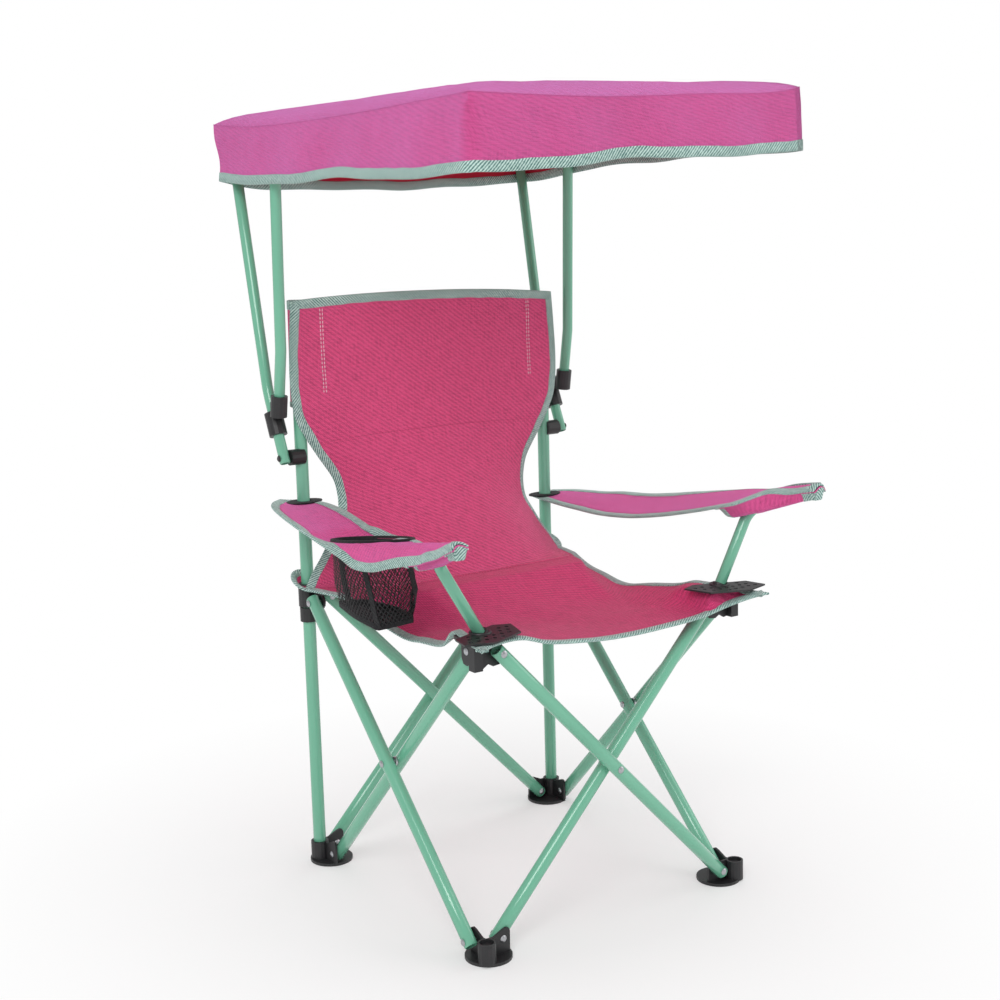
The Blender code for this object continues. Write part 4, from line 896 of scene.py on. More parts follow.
def back_point(share, up):
    """Middle surface of the backrest: share from -1 to 1 across, up from 0 at the seam to 1 at the top."""
    spot = up * (len(BACK_TABLE) - 1)
    middle_z, middle_y, half, edge_z, edge_y = (column_at(BACK_TABLE, k, spot) for k in range(5))
    spread = abs(share) ** 2.2
    point = at(share * half, lerp(middle_y, edge_y, spread), lerp(middle_z, edge_z, spread))
    if up < 0.12:
        point = (seat_seam(share) + Vector((0, 0, 0.0006))).lerp(point, smooth_step(up / 0.12))
    point.z -= 0.0024 * share * smooth_step((up - 0.75) / 0.25)
    soft = (1 - abs(share) ** 6) * smooth_step(up / 0.1)
    folds = (0.0014 * noise.noise(Vector((share * 2.6, up * 5.0, 4.0)))
             + 0.0006 * noise.noise(Vector((share * 9, up * 14, 2))))
    bulge = -0.0013 * math.exp(-((abs(point.x) - POST_X) / 0.008) ** 2) * smooth_step((up - 0.7) / 0.1)
    return point + Vector((0, folds * soft + bulge, 0))


def make_sleeve(side):
    """Back layer of a sleeve: from the side edge round the post and back to the double row of stitches."""
    rows = []
    for level in range(31):
        share = level / 30
        height = lerp(SLEEVE_LOW, BACK_TABLE[-1][3] - 0.0024 * side, share)
        post = post_point(side, height)
        edge_x = lerp(0.1625, 0.1600, share)
        line = []
        for k in range(13):
            turn = math.pi / 2 * k / 12
            line.append(Vector((side * lerp(POST_X, edge_x, math.cos(turn)),
                                post.y + lerp(-0.0062, 0.0080, math.sin(turn)), height)))
        for k in range(1, 15):
            slide = k / 14
            line.append(Vector((side * lerp(POST_X, SLEEVE_INNER_X, slide),
                                post.y + lerp(0.0080, -0.0048, smooth_step(slide)), height)))
        rows.append(line)
    sleeve, _ = cloth_sheet(f"back_sleeve_{SIDE[side]}", rows, SLING)
    pieces = [sleeve]
    for which, tag, width in (("last", "top", 0.0085), ("first", "bottom", 0.0050)):
        pieces.append(bind(f"back_sleeve_{tag}_{SIDE[side]}", rows, (which,), width, 0.0010, TAPE))
    return pieces


def make_backrest():
    columns, rows_count = 60, 110
    rows = [[back_point(2 * c / columns - 1, r / rows_count) for c in range(columns + 1)]
            for r in range(rows_count + 1)]
    sheet, area = cloth_sheet("backrest_cloth", rows, SLING)
    pieces = [bind("back_edge", rows, ("left_up", "last", "right_down"), 0.0086, 0.0012, TAPE, wave=0.12)]
    for side in (LEFT, RIGHT):
        pieces += make_sleeve(side)
        for offset in STITCH_ROWS_X:
            heights = [lerp(0.4900, 0.5750, k / 40) for k in range(41)]
            path = [on_front(rows, side * offset, height) for height in heights]
            name = f"back_stitch_{SIDE[side]}_{round(offset * 10000)}"
            pieces.append(stitches(name, path, lambda p: Vector((0, -1, 0)), 0.0028, 0.0012, 0.00036, THREAD))
    seam_row = min(range(rows_count + 1), key=lambda r: abs(rows[r][columns // 2].z - BACK_SEAM_Z))
    for tag, shift in (("upper", 0.0013), ("lower", -0.0013)):
        path = [point + Vector((0, -CLOTH / 2, shift)) for point in rows[seam_row][2:-2]]
        pieces.append(fine_stitches(f"back_seam_{tag}", path, Vector((0, -1, 0))))
    return sheet, area, pieces


def on_front(rows, x, z):
    """The front face of a grid at an x and z."""
    best = min((point for row in rows for point in row), key=lambda p: (p.x - x) ** 2 + (p.z - z) ** 2)
    return Vector((x, best.y - CLOTH / 2, z))


# Seat.
SEAT_CORNER_Z = HUB_TOP + 0.003 + 0.0003 + 0.0008
SEAT_FRONT_HALF = 0.172
# Height of the seat's front edge by x: it dips between the hubs and lies lower on the right.
SEAT_FRONT_Z = ((-0.172, SEAT_CORNER_Z), (-0.147, 0.2997), (-0.110, 0.2962), (-0.077, 0.2860),
                (-0.029, 0.2793), (0.008, 0.2767),
                (0.053, 0.2768), (0.104, 0.2808), (0.135, 0.2902), (0.161, 0.2983), (0.172, SEAT_CORNER_Z))
# Outline of the hubs' tops, over which the seat lies level.
HUB_INNER_X, HUB_OUTER_X = 0.1225, 0.158
HUB_FRONT_Y, HUB_REAR_Y = -0.1515, -0.1155


def seat_point(share, along):
    """Middle surface of the seat: share from -1 to 1 across, along from 0 at the front to 1 at the seam."""
    edge_x = share * (SEAT_FRONT_HALF if share < 0 else SEAT_FRONT_HALF - 0.006)
    front = at(edge_x, -0.152 - 0.031 * abs(share) ** 4, curve_value(SEAT_FRONT_Z, edge_x))
    rear = seat_seam(share)
    point = front.lerp(rear, along)
    neck = 0.16 * math.sin(math.pi * along)
    free = min(max((along - 0.225 - 0.025 * share) / 0.63, 0), 1)
    sag = lerp(0.010, lerp(0.026, 0.014, (share + 1) / 2), share * share)
    soft = math.sin(math.pi * along)
    wrinkle = 0.0016 * noise.noise(Vector((share * 3.0, along * 4.5, 1.0))) * soft
    pull = 0.0010 * math.sin(26 * along + 3 * share) * abs(share) ** 3 * soft
    height = front.z + (rear.z - front.z) * free - sag * math.sin(math.pi * free) + wrinkle + pull
    x, y = point.x * (1 - neck), point.y - SHIFT_Y
    beside = max(HUB_INNER_X - abs(x), 0, abs(x) - HUB_OUTER_X)
    before = (HUB_FRONT_Y - y) / 0.006 if y < HUB_FRONT_Y else max(y - HUB_REAR_Y, 0) / 0.030
    over_hub = smooth_step(1 - math.hypot(beside / 0.010, before))
    hanging = smooth_step((-share - 0.8) / 0.2) * math.sin(math.pi * min(max((along - 0.04) / 0.42, 0), 1))
    height -= 0.004 * hanging
    return Vector((x, point.y, lerp(height, max(height, SEAT_CORNER_Z), over_hub)))


def arm_post_at(side, height):
    """Middle of the arm post at a height below its bend."""
    start, bend = arm_corners(side)[:2]
    return start.lerp(bend, (height - start.z) / (bend.z - start.z))


def make_seat():
    columns, rows_count = 84, 84
    rows = [[seat_point(2 * c / columns - 1, r / rows_count) for c in range(columns + 1)]
            for r in range(rows_count + 1)]
    sheet, area = cloth_sheet("seat_cloth", rows, SLING_SEAT)
    for side in (LEFT, RIGHT):
        spot = arm_post_at(side, SEAT_CORNER_Z)
        cut_hole(sheet, oval(spot.x, spot.y - SHIFT_Y, 0.0098, 0.0082, 24), SEAT_CORNER_Z - 0.02,
                 SEAT_CORNER_Z + 0.02)
    pieces = [bind("seat_edge", rows, ("left_down", "first", "right_up"), 0.0082, 0.0012, TAPE, wave=0.15)]
    for tag, row, margin in (("front", 4, 8), ("rear_a", rows_count - 1, 18), ("rear_b", rows_count - 2, 18)):
        path = [point + Vector((0, 0, CLOTH / 2)) for point in rows[row][margin:-margin]]
        pieces.append(fine_stitches(f"seat_stitch_{tag}", path, Vector((0, 0, 1))))
    return sheet, area, pieces


def make_tab(side):
    """Rear corner of the seat: a bound loop of cloth round the post, on top of the slider."""
    word = SIDE[side]
    low = side_pin("slider").z + 0.0113 + 0.0014
    post = post_point(side, low)
    rows = []
    for level in range(7):
        share = level / 6
        line = []
        for k in range(56):
            turn = 2 * math.pi * k / 56
            x = post.x + side * 0.0020 * share + lerp(TUBE_R + 0.0009, 0.0140, share) * math.cos(turn)
            y = post.y - 0.0010 * share + lerp(TUBE_R + 0.0009, 0.0170, share) * math.sin(turn)
            lift = 0.0035 + 0.0080 * share * math.sin(turn) + 0.0025 * share * share
            line.append(Vector((x, y, low + lift - 0.0015 * (1 - share))))
        rows.append(line)
    tab, area = cloth_sheet(f"seat_tab_{word}", rows, SLING_SEAT, wrap=True)
    edge = ring_band(f"seat_tab_edge_{word}", rows[-1], rows[-2], 0.0072, 0.0012, TAPE)
    grommet = ring_mesh(f"seat_tab_grommet_{word}",
                        grommet_rings(post.x, post.y, rows[0][0].z, TUBE_R + 0.0006, 0.0105, 0.0013),
                        PLASTIC, closed=True)
    return tab, area, [edge, grommet]


def grommet_rings(x, y, z, inner, outer, half, stretch=1.0, sides=40):
    """Section rings of a flat eyelet with rounded rims."""
    middle = (inner + outer) / 2
    section = ((inner, 0), (lerp(inner, middle, 0.3), half), (middle, half * 1.15),
               (lerp(outer, middle, 0.3), half * 0.8), (outer, 0),
               (lerp(outer, middle, 0.3), -half * 0.8), (middle, -half), (lerp(inner, middle, 0.3), -half))
    rings = []
    for k in range(sides):
        turn = 2 * math.pi * k / sides
        rings.append([Vector((x + radius * stretch * math.cos(turn), y + radius * math.sin(turn), z + rise))
                      for radius, rise in section])
    return rings


def ring_band(name, edge, inner, width, thick, material, wave=0.0, bulge=0.0006):
    """Binding round a closed edge; inner is the next line of points into the cloth."""
    tangents = frames_along(edge, closed=True)
    inward, normals = [], []
    for low, high, tangent in zip(edge, inner, tangents):
        into = high - low
        into = (into - into.dot(tangent) * tangent).normalized()
        inward.append(into)
        normals.append(tangent.cross(into).normalized())
    return band(name, edge, inward, normals, width, thick, material, closed=True, wave=wave, bulge=bulge)


# Canopy cover. The tables give the seam's height and the skirt's drop.
# They go by y along the left side and by x along the front.
SEAM_LEFT = ((-0.200, 0.7590), (-0.124, 0.7566), (-0.067, 0.7541), (-0.005, 0.7520), (0.110, 0.7493),
             (0.2246, 0.7462))
SEAM_FRONT = ((-0.187, 0.7590), (-0.174, 0.7592), (-0.056, 0.7589), (0.006, 0.7612), (0.072, 0.7644),
              (0.127, 0.7650), (0.179, 0.7655))
DROP_LEFT = ((-0.200, 0.0625), (-0.130, 0.0606), (-0.065, 0.0580), (0.0, 0.0535), (0.090, 0.0538),
             (0.2246, 0.0555))
DROP_FRONT = ((-0.187, 0.0620), (-0.140, 0.0592), (-0.020, 0.0507), (0.059, 0.0524), (0.179, 0.0540))
DROP_RIGHT = ((-0.200, 0.0540), (-0.100, 0.0490), (-0.030, 0.0470), (0.080, 0.0448), (0.150, 0.0510),
              (0.2235, 0.0525))
CANOPY_LEFT_X, CANOPY_RIGHT_X = -0.187, 0.1790
CANOPY_FRONT_Y, CANOPY_REAR_Y = -0.200, 0.2235


def canopy_edge_values(sx, sy, x, y):
    """Seam height and skirt drop at a place on the edge."""
    left, left_drop = curve_value(SEAM_LEFT, y), curve_value(DROP_LEFT, y)
    front, front_drop = curve_value(SEAM_FRONT, x), curve_value(DROP_FRONT, x)
    ahead = (CANOPY_REAR_Y - y) / (CANOPY_REAR_Y - CANOPY_FRONT_Y)
    if sx <= -1:
        return left, left_drop
    if sy <= -1:
        return front, front_drop
    if sx >= 1:
        return left + 0.0065 * ahead + 0.0045 * (1 - (2 * ahead - 1) ** 4), curve_value(DROP_RIGHT, y)
    return 0.7462 - 0.0015 * (1 - sx * sx), lerp(0.0555, 0.0525, (sx + 1) / 2)


def rounded_corner(x, y, half_x, half_y, radius):
    """A point of a rectangle's outline, moved onto its rounded corner."""
    over_x, over_y = abs(x) - (half_x - radius), abs(y) - (half_y - radius)
    if over_x <= 0 or over_y <= 0:
        return x, y
    scale = radius / math.hypot(over_x, over_y)
    return (math.copysign(half_x - radius + over_x * scale, x),
            math.copysign(half_y - radius + over_y * scale, y))


def canopy_outline(per_side):
    """Round the edge: shares and the seam point, ears drawn out at the rear left and front right."""
    middle_x, middle_y = (CANOPY_LEFT_X + CANOPY_RIGHT_X) / 2, (CANOPY_FRONT_Y + CANOPY_REAR_Y) / 2
    half_x, half_y = (CANOPY_RIGHT_X - CANOPY_LEFT_X) / 2, (CANOPY_REAR_Y - CANOPY_FRONT_Y) / 2
    outline = []
    for quarter in range(4):
        for step in range(per_side):
            share = 2 * step / per_side - 1
            sx, sy = ((1, share), (-share, 1), (-1, -share), (share, -1))[quarter]
            x, y = middle_x + half_x * sx, middle_y + half_y * sy
            seam, drop = canopy_edge_values(sx, sy, x, y)
            corner = abs(sx * sy) ** (4 if sy > 0 else 6)
            if sy > 0:
                y += 0.0190 * corner
                seam += (0.0090 if sx < 0 else 0.0050) * corner
            else:
                seam += (0.0072 if sx > 0 else 0.0010) * corner
            if sx < 0 < sy:
                x -= 0.0030 * corner
            x -= math.copysign(0.0020 * (1 - sy * sy), sx) if abs(sx) == 1 else 0
            x += 0.0075 * (1 - sy ** 40) if sx == 1 else 0
            outline.append((sx, sy, x, y, seam, drop))
    return outline, middle_x, middle_y, half_x, half_y


# Rings of the top from its middle to the seam, and of the skirt from the seam to the hem.
TOP_SHARES = (0.05, 0.12, 0.20, 0.28, 0.36, 0.44, 0.52, 0.60, 0.68, 0.75, 0.82, 0.88, 0.93,
              0.965, 0.985, 0.996)
SKIRT_LEVELS = (0.0, 0.02, 0.06, 0.14, 0.25, 0.37, 0.5, 0.62, 0.74, 0.86, 0.95, 1.0)


def canopy_top_ring(outline, middle_x, middle_y, share):
    """A ring of the crowned top, at a share of the way from the middle to the seam."""
    line = []
    for sx, sy, x, y, seam, drop in outline:
        tx, ty = sx * share, sy * share
        flat_z = lerp(0.7550, seam, share ** 1.5)
        crown = (0.0092 * (1 - max(abs(tx), abs(ty)) ** 14)
                 + 0.0167 * ((1 - tx * tx) * (1 - ty * ty)) ** 0.8)
        px, py = lerp(middle_x, x, share), lerp(middle_y, y, share)
        puckers = (0.0011 * noise.noise(Vector((px * 16, py * 16, 0)))
                   + 0.0005 * noise.noise(Vector((px * 55, py * 55, 3))))
        line.append(at(px, py, flat_z + crown + puckers * (1 - share ** 8)))
    return line


def canopy_skirt_ring(outline, middle_x, middle_y, half_x, half_y, level):
    """A ring of the skirt, at a share of its drop, with soft waves."""
    line = []
    for index, (sx, sy, x, y, seam, drop) in enumerate(outline):
        turn = 2 * math.pi * index / len(outline)
        wave = 0.7 * math.sin(9 * turn) + 0.5 * math.sin(17 * turn + 1.3)
        pull = smooth_step(level / 0.5)
        wide_x = middle_x + half_x * sx + (x - middle_x - half_x * sx) * (1 - 0.15 * pull)
        drawn = 1 - 0.65 * smooth_step((level - 0.15) / 0.6)
        wide_y = middle_y + half_y * sy + (y - middle_y - half_y * sy) * drawn
        cx, cy = wide_x - middle_x, wide_y - middle_y
        if sy < 0 and pull >= 0.02:
            cx, cy = rounded_corner(cx, cy, half_x + (0.0065 if sx > 0 else 0), half_y,
                                    0.002 + 0.008 * pull)
        outward = Vector((sx ** 5, sy ** 5, 0)).normalized()
        push = level * 0.0030 + 0.0012 * wave * math.sin(math.pi * level) + 0.0014 * wave * level
        place = at(middle_x + cx, middle_y + cy, seam - level * (drop + 0.0012 * wave))
        line.append(place + push * outward)
    return line


def make_canopy():
    outline, middle_x, middle_y, half_x, half_y = canopy_outline(60)
    rows = [canopy_top_ring(outline, middle_x, middle_y, share) for share in TOP_SHARES]
    rows += [canopy_skirt_ring(outline, middle_x, middle_y, half_x, half_y, level) for level in SKIRT_LEVELS]
    turned = [list(reversed(line)) for line in rows]
    sheet, area = cloth_sheet("canopy_cloth", turned, [CANOPY_TOP, CANOPY_INSIDE], wrap=True, cap=True)
    hem = ring_band("canopy_hem", rows[-1], rows[-2], 0.0088, 0.0013, TAPE, wave=0.08)
    welt = [point + Vector((0, 0, 0.0003)) for point in rows[len(TOP_SHARES)]]
    piping = ring_mesh("canopy_seam", path_rings(welt, [0.0007] * len(outline), 8), CANOPY_TOP, closed=True)
    return sheet, area, [hem, piping]


# Arm panels: y, inner and outer x, then heights at the inner edge, the middle, the ridge and the outer edge.
PANEL_LEFT = (
    (0.1700, 0.1430, 0.1720, 0.3795, 0.3800, 0.3815, 0.3825),
    (0.1500, 0.1390, 0.1900, 0.3795, 0.3795, 0.3820, 0.3845),
    (0.1250, 0.1390, 0.2040, 0.3800, 0.3785, 0.3810, 0.3855),
    (0.0900, 0.1415, 0.2130, 0.3785, 0.3750, 0.3785, 0.3830),
    (0.0500, 0.1455, 0.2165, 0.3740, 0.3690, 0.3740, 0.3770),
    (0.0330, 0.1480, 0.2165, 0.3728, 0.3645, 0.3680, 0.3740),
    (0.0000, 0.1475, 0.2165, 0.3740, 0.3660, 0.3700, 0.3670),
    (-0.0220, 0.1485, 0.2165, 0.3745, 0.3690, 0.3715, 0.3610),
    (-0.0500, 0.1570, 0.2165, 0.3760, 0.3755, 0.3785, 0.3565),
    (-0.0800, 0.1675, 0.2160, 0.3783, 0.3800, 0.3815, 0.3590),
    (-0.1050, 0.1735, 0.2140, 0.3812, 0.3845, 0.3835, 0.3660),
    (-0.1270, 0.1765, 0.2125, 0.3850, 0.3885, 0.3875, 0.3715),
    (-0.1500, 0.1810, 0.2125, 0.3895, 0.3925, 0.3920, 0.3770),
    (-0.1610, 0.1860, 0.2130, 0.3920, 0.3945, 0.3945, 0.3810),
    (-0.1800, 0.1940, 0.2140, 0.3950, 0.3980, 0.3980, 0.3870),
    (-0.1960, 0.1985, 0.2150, 0.3990, 0.4020, 0.4015, 0.3940),
    (-0.2060, 0.2000, 0.2155, 0.4000, 0.4035, 0.4032, 0.3985),
)
PANEL_RIGHT = (
    (0.1700, 0.1430, 0.1760, 0.3510, 0.3520, 0.3520, 0.3520),
    (0.1500, 0.1405, 0.1930, 0.3500, 0.3520, 0.3525, 0.3530),
    (0.1140, 0.1420, 0.2080, 0.3475, 0.3510, 0.3525, 0.3535),
    (0.0900, 0.1435, 0.2140, 0.3465, 0.3510, 0.3540, 0.3560),
    (0.0500, 0.1440, 0.2165, 0.3460, 0.3510, 0.3560, 0.3590),
    (0.0100, 0.1440, 0.2165, 0.3490, 0.3550, 0.3610, 0.3650),
    (-0.0185, 0.1440, 0.2165, 0.3530, 0.3600, 0.3670, 0.3700),
    (-0.0600, 0.1445, 0.2160, 0.3610, 0.3690, 0.3760, 0.3770),
    (-0.1080, 0.1450, 0.2145, 0.3725, 0.3800, 0.3860, 0.3850),
    (-0.1300, 0.1465, 0.2140, 0.3785, 0.3850, 0.3895, 0.3880),
    (-0.1520, 0.1500, 0.2135, 0.3845, 0.3920, 0.3930, 0.3900),
    (-0.1640, 0.1790, 0.2135, 0.3930, 0.3960, 0.3960, 0.3920),
    (-0.1800, 0.1925, 0.2140, 0.3930, 0.3985, 0.3990, 0.3950),
    (-0.1960, 0.1975, 0.2150, 0.3965, 0.4020, 0.4020, 0.3975),
    (-0.2060, 0.2005, 0.2155, 0.3985, 0.4035, 0.4030, 0.3990),
)
PANEL_SHARES = (0.0, 0.45, 0.82, 1.0)
CUP_X, CUP_Y = -0.1800, -0.0220
CUP_A, CUP_B = 0.0288, 0.0575


def panel_point(table, side, share, along):
    spot = along * (len(table) - 1)
    y, inner_x, outer_x = (column_at(table, k, spot) for k in range(3))
    heights = [(at_share, column_at(table, 3 + k, spot)) for k, at_share in enumerate(PANEL_SHARES)]
    point = at(side * lerp(inner_x, outer_x, share), y, curve_value(heights, share))
    if side == LEFT:
        near_cup = smooth_step((1.35 - math.hypot((point.x - CUP_X) / CUP_A, (y - CUP_Y) / CUP_B)) / 0.35)
        point.z = lerp(point.z, cup_mouth_z(point.x, point.y), near_cup)
    return point


def cup_mouth_z(x, y):
    return 0.3720 - 0.0600 * (x - CUP_X) - 0.1435 * (y - SHIFT_Y - CUP_Y)


def cut_hole(piece, shape_points, low, high):
    """Cut an upright hole of the given outline through a piece."""
    points = ([Vector((p.x, p.y, low)) for p in shape_points]
              + [Vector((p.x, p.y, high)) for p in shape_points])
    size = len(shape_points)
    faces = [(k, (k + 1) % size, (k + 1) % size + size, k + size) for k in range(size)]
    faces += [tuple(range(size))[::-1], tuple(range(size, 2 * size))]
    tool = mesh_object("tool", points, faces, piece.data.materials[0], [(0, 0)] * (2 * size), smooth=False)
    step = piece.modifiers.new("cut", "BOOLEAN")
    step.operation = "DIFFERENCE"
    step.solver = "EXACT"
    step.object = tool
    bpy.context.view_layer.update()
    mesh = bpy.data.meshes.new_from_object(piece.evaluated_get(bpy.context.evaluated_depsgraph_get()))
    piece.modifiers.clear()
    piece.data = mesh
    bpy.data.objects.remove(tool, do_unlink=True)
    mesh.polygons.foreach_set("use_smooth", [True] * len(mesh.polygons))
    mesh.set_sharp_from_angle(angle=math.radians(50))


def oval(x, y, a, b, sides=48):
    turns = [2 * math.pi * k / sides for k in range(sides)]
    return [at(x + a * math.cos(turn), y + b * math.sin(turn), 0) for turn in turns]


def make_pocket(side, table):
    """Lower layer under the panel's front: it hangs round the arm post's bend and closes at the tip."""
    bend, tip = arm_corners(side)[1:]
    first = next(k for k in range(400) if panel_point(table, side, 0, k / 399).y - SHIFT_Y < -0.128) / 399
    rows = []
    for level in range(25):
        along = lerp(first, 1.0, min(level / 22, 1.0))
        closing = max(level - 22, 0) / 2
        line = []
        for column in range(25):
            share = column / 24
            top = panel_point(table, side, share, along)
            past_bend = min(max((bend.y - top.y) / (bend.y - tip.y), 0), 1)
            post_x = lerp(bend.x, tip.x, past_bend) * side
            post_z = lerp(bend.z, tip.z, past_bend)
            inner, outer = (abs(panel_point(table, side, 0, along).x),
                            abs(panel_point(table, side, 1, along).x))
            middle = min(max((post_x - inner) / (outer - inner), 0.3), 0.7)
            spread = abs(share - middle) / (middle if share < middle else 1 - middle)
            hang = smooth_step(2.0 * (1 - spread))
            deep = max(top.z - (post_z - ARM_R - 0.0012), 0.004)
            drop = max(deep * hang, 0.0012)
            line.append(top + Vector((0, -0.0016 * closing, -lerp(drop, 0.0014, closing))))
        rows.append(line)
    pocket, _ = cloth_sheet(f"arm_pocket_{SIDE[side]}", rows, ARM_CLOTH)
    tip = [[point - Vector((0, 0, 0.0010)) for point in line] for line in rows[17:]]
    cap, _ = cloth_sheet(f"arm_tip_{SIDE[side]}", tip, TAPE)
    return [pocket, cap, bind(f"arm_pocket_edge_{SIDE[side]}", rows, ("first",), 0.0060, 0.0009, TAPE)]


def make_patch(word, post, height):
    """Black patch on an arm panel, round the hole for the rear post."""
    rows = []
    for reach in (1.0, 0.85, 0.6, 0.0):
        line = []
        for k in range(40):
            turn = 2 * math.pi * k / 40
            x = post.x + lerp(TUBE_R + 0.0010, 0.0200, reach) * math.cos(turn)
            y = post.y + lerp(TUBE_R + 0.0010, 0.0125, reach) * math.sin(turn)
            line.append(Vector((x, y, height + 0.0022 - 0.0006 * reach)))
        rows.append(line)
    patch, _ = cloth_sheet(f"arm_patch_{word}", rows, BLACK_TAPE, thickness=0.0012, wrap=True)
    return patch


def make_panel(side):
    word = SIDE[side]
    table = PANEL_LEFT if side == LEFT else PANEL_RIGHT
    columns, rows_count = 30, 100
    rows = [[panel_point(table, side, c / columns, r / rows_count) for c in range(columns + 1)]
            for r in range(rows_count + 1)]
    sheet, area = cloth_sheet(f"arm_cloth_{word}", rows, ARM_CLOTH)
    pieces = [bind(f"arm_edge_{word}", rows, ("first", "right_up", "last_back", "left_down"), 0.0080, 0.0012,
                   TAPE, wave=0.12, closed=True)]
    pieces += make_pocket(side, table)
    post = post_point(side, 0.36)
    cut_hole(sheet, oval(post.x, post.y - SHIFT_Y, TUBE_R + 0.0012, TUBE_R + 0.0012, 24), 0.3, 0.42)
    near = min((point for row in rows for point in row),
               key=lambda p: (p.x - post.x) ** 2 + (p.y - post.y) ** 2)
    pieces.append(make_patch(word, post, near.z))
    if side == LEFT:
        cut_hole(sheet, oval(CUP_X, CUP_Y, CUP_A, CUP_B), 0.3, 0.42)
    for offset, tag in ((0.14, "inner"), (0.86, "outer")):
        path = [panel_point(table, side, offset, k / 60) + Vector((0, 0, CLOTH / 2)) for k in range(4, 50)]
        pieces.append(fine_stitches(f"arm_stitch_{tag}_{word}", path, Vector((0, 0, 1))))
    return sheet, area, pieces


# Cup bag: a tilted oval mouth and a bottom of five corners, turned a little against each other.
CUP_CORNERS = (
    (-0.1880, -0.0400, 0.2935), (-0.1500, -0.0460, 0.2965), (-0.1455, -0.0050, 0.2960),
    (-0.1600, 0.0290, 0.3000), (-0.1905, 0.0265, 0.3040),
)


def cup_bottom(turn):
    """Point of the bottom outline in a direction from the bag's middle."""
    corners = [at(*corner) for corner in CUP_CORNERS]
    centre = sum(corners, Vector()) / len(corners)
    way = Vector((math.cos(turn), math.sin(turn), 0))
    for first, second in zip(corners, corners[1:] + corners[:1]):
        a, b = first - centre, second - centre
        whole = a.x * b.y - a.y * b.x
        from_a, from_b = (way.x * b.y - way.y * b.x) / whole, (a.x * way.y - a.y * way.x) / whole
        if from_a >= -1e-6 and from_b >= -1e-6:
            reach = 1 / (from_a + from_b)
            point = centre + (a * from_a + b * from_b) * reach
            return point.lerp(centre + 0.028 * way + Vector((0, 0, point.z - centre.z)), 0.22)
    return centre


def make_cup():
    levels, sides = 26, 80
    rows = []
    for level in range(levels + 1):
        share = level / levels
        line = []
        for k in range(sides):
            turn = 2 * math.pi * k / sides
            top = at(CUP_X + 0.97 * CUP_A * math.cos(turn), CUP_Y + 0.97 * CUP_B * math.sin(turn), 0)
            top.z = cup_mouth_z(top.x, top.y) + 0.0010
            low = cup_bottom(math.atan2(0.030 * math.sin(turn), 0.0292 * math.cos(turn)))
            point = top.lerp(low, share)
            away = Vector((math.cos(turn), math.sin(turn), 0))
            bag = (0.0030 * math.sin(math.pi * share ** 1.4)
                   + 0.0016 * noise.noise(point * 55) * math.sin(math.pi * share))
            line.append(point + away * bag)
        rows.append(line)
    net, area = cloth_sheet("cup_net_bag", rows, NET, thickness=0.0006, wrap=True)
    bottom = rows[-1]
    centre = sum(bottom, Vector()) / sides - Vector((0, 0, 0.0040))
    base_rows = []
    for share in (1.02, 0.95, 0.75, 0.5, 0.25, 0.06):
        base_rows.append([centre.lerp(p, share) + Vector((0, 0, (share ** 2 - share) * 0.003))
                          for p in bottom])
    base, _ = cloth_sheet("cup_base", base_rows, BLACK_TAPE, thickness=0.0012, wrap=True)
    pieces = [base]
    for name, line, shift, into, width in (("cup_rim", rows[0], 0.0014, -1, 0.0060),
                                           ("cup_base_edge", bottom, -0.0010, 1, 0.0060)):
        edge = [p + Vector((0, 0, shift)) for p in line]
        pieces.append(ring_band(name, edge, [p + Vector((0, 0, into * 0.01)) for p in edge], width, 0.0015,
                                BLACK_TAPE))
    for index, (above, below) in enumerate(((44, 53), (60, 68), (76, 68), (21, 24))):
        pieces.append(cup_band(f"cup_band_{index}", rows, above, below))
    return net, area, pieces


def cup_band(name, rows, above, below):
    """Flat tape down the bag, from one place on its mouth to another on its bottom."""
    sides = len(rows[0])
    path, outward = [], []
    for level, line in enumerate(rows):
        spot = lerp(above, below, level / (len(rows) - 1))
        k = int(spot)
        path.append(line[k % sides].lerp(line[(k + 1) % sides], spot - k))
        outward.append((line[(k + 1) % sides] - line[k - 1]).cross(Vector((0, 0, 1))).normalized())
    tangents = frames_along(path)
    verts, uv, faces = [], [], []
    run = 0.0
    for index, (point, away, tangent) in enumerate(zip(path, outward, tangents)):
        run += (point - path[max(index - 1, 0)]).length
        across = tangent.cross(away).normalized()
        for reach, rise in ((-0.0030, 0.0002), (-0.0030, 0.0012), (0.0030, 0.0012), (0.0030, 0.0002)):
            verts.append(point + across * reach + away * rise)
            uv.append((run, reach))
    for index in range(len(path) - 1):
        for q in range(4):
            a, b = index * 4 + q, index * 4 + (q + 1) % 4
            faces.append((a, b, b + 4, a + 4))
    faces += [(0, 1, 2, 3), tuple(len(verts) - 4 + q for q in range(4))]
    return mesh_object(name, verts, faces, BLACK_TAPE, uv)


# Corner plates with a ring round the arm post and holes round it.
PLATE_CORNERS = ((0.104, -0.1310), (0.120, -0.1245), (0.173, -0.1440), (0.178, -0.1660), (0.150, -0.1740),
                 (0.113, -0.1590))


def inside_plate(x, y, margin):
    size = len(PLATE_CORNERS)
    for k in range(size):
        (ax, ay), (bx, by) = PLATE_CORNERS[k], PLATE_CORNERS[(k + 1) % size]
        if ((bx - ax) * (y - ay) - (by - ay) * (x - ax)) / math.hypot(bx - ax, by - ay) > -margin:
            return False
    return True


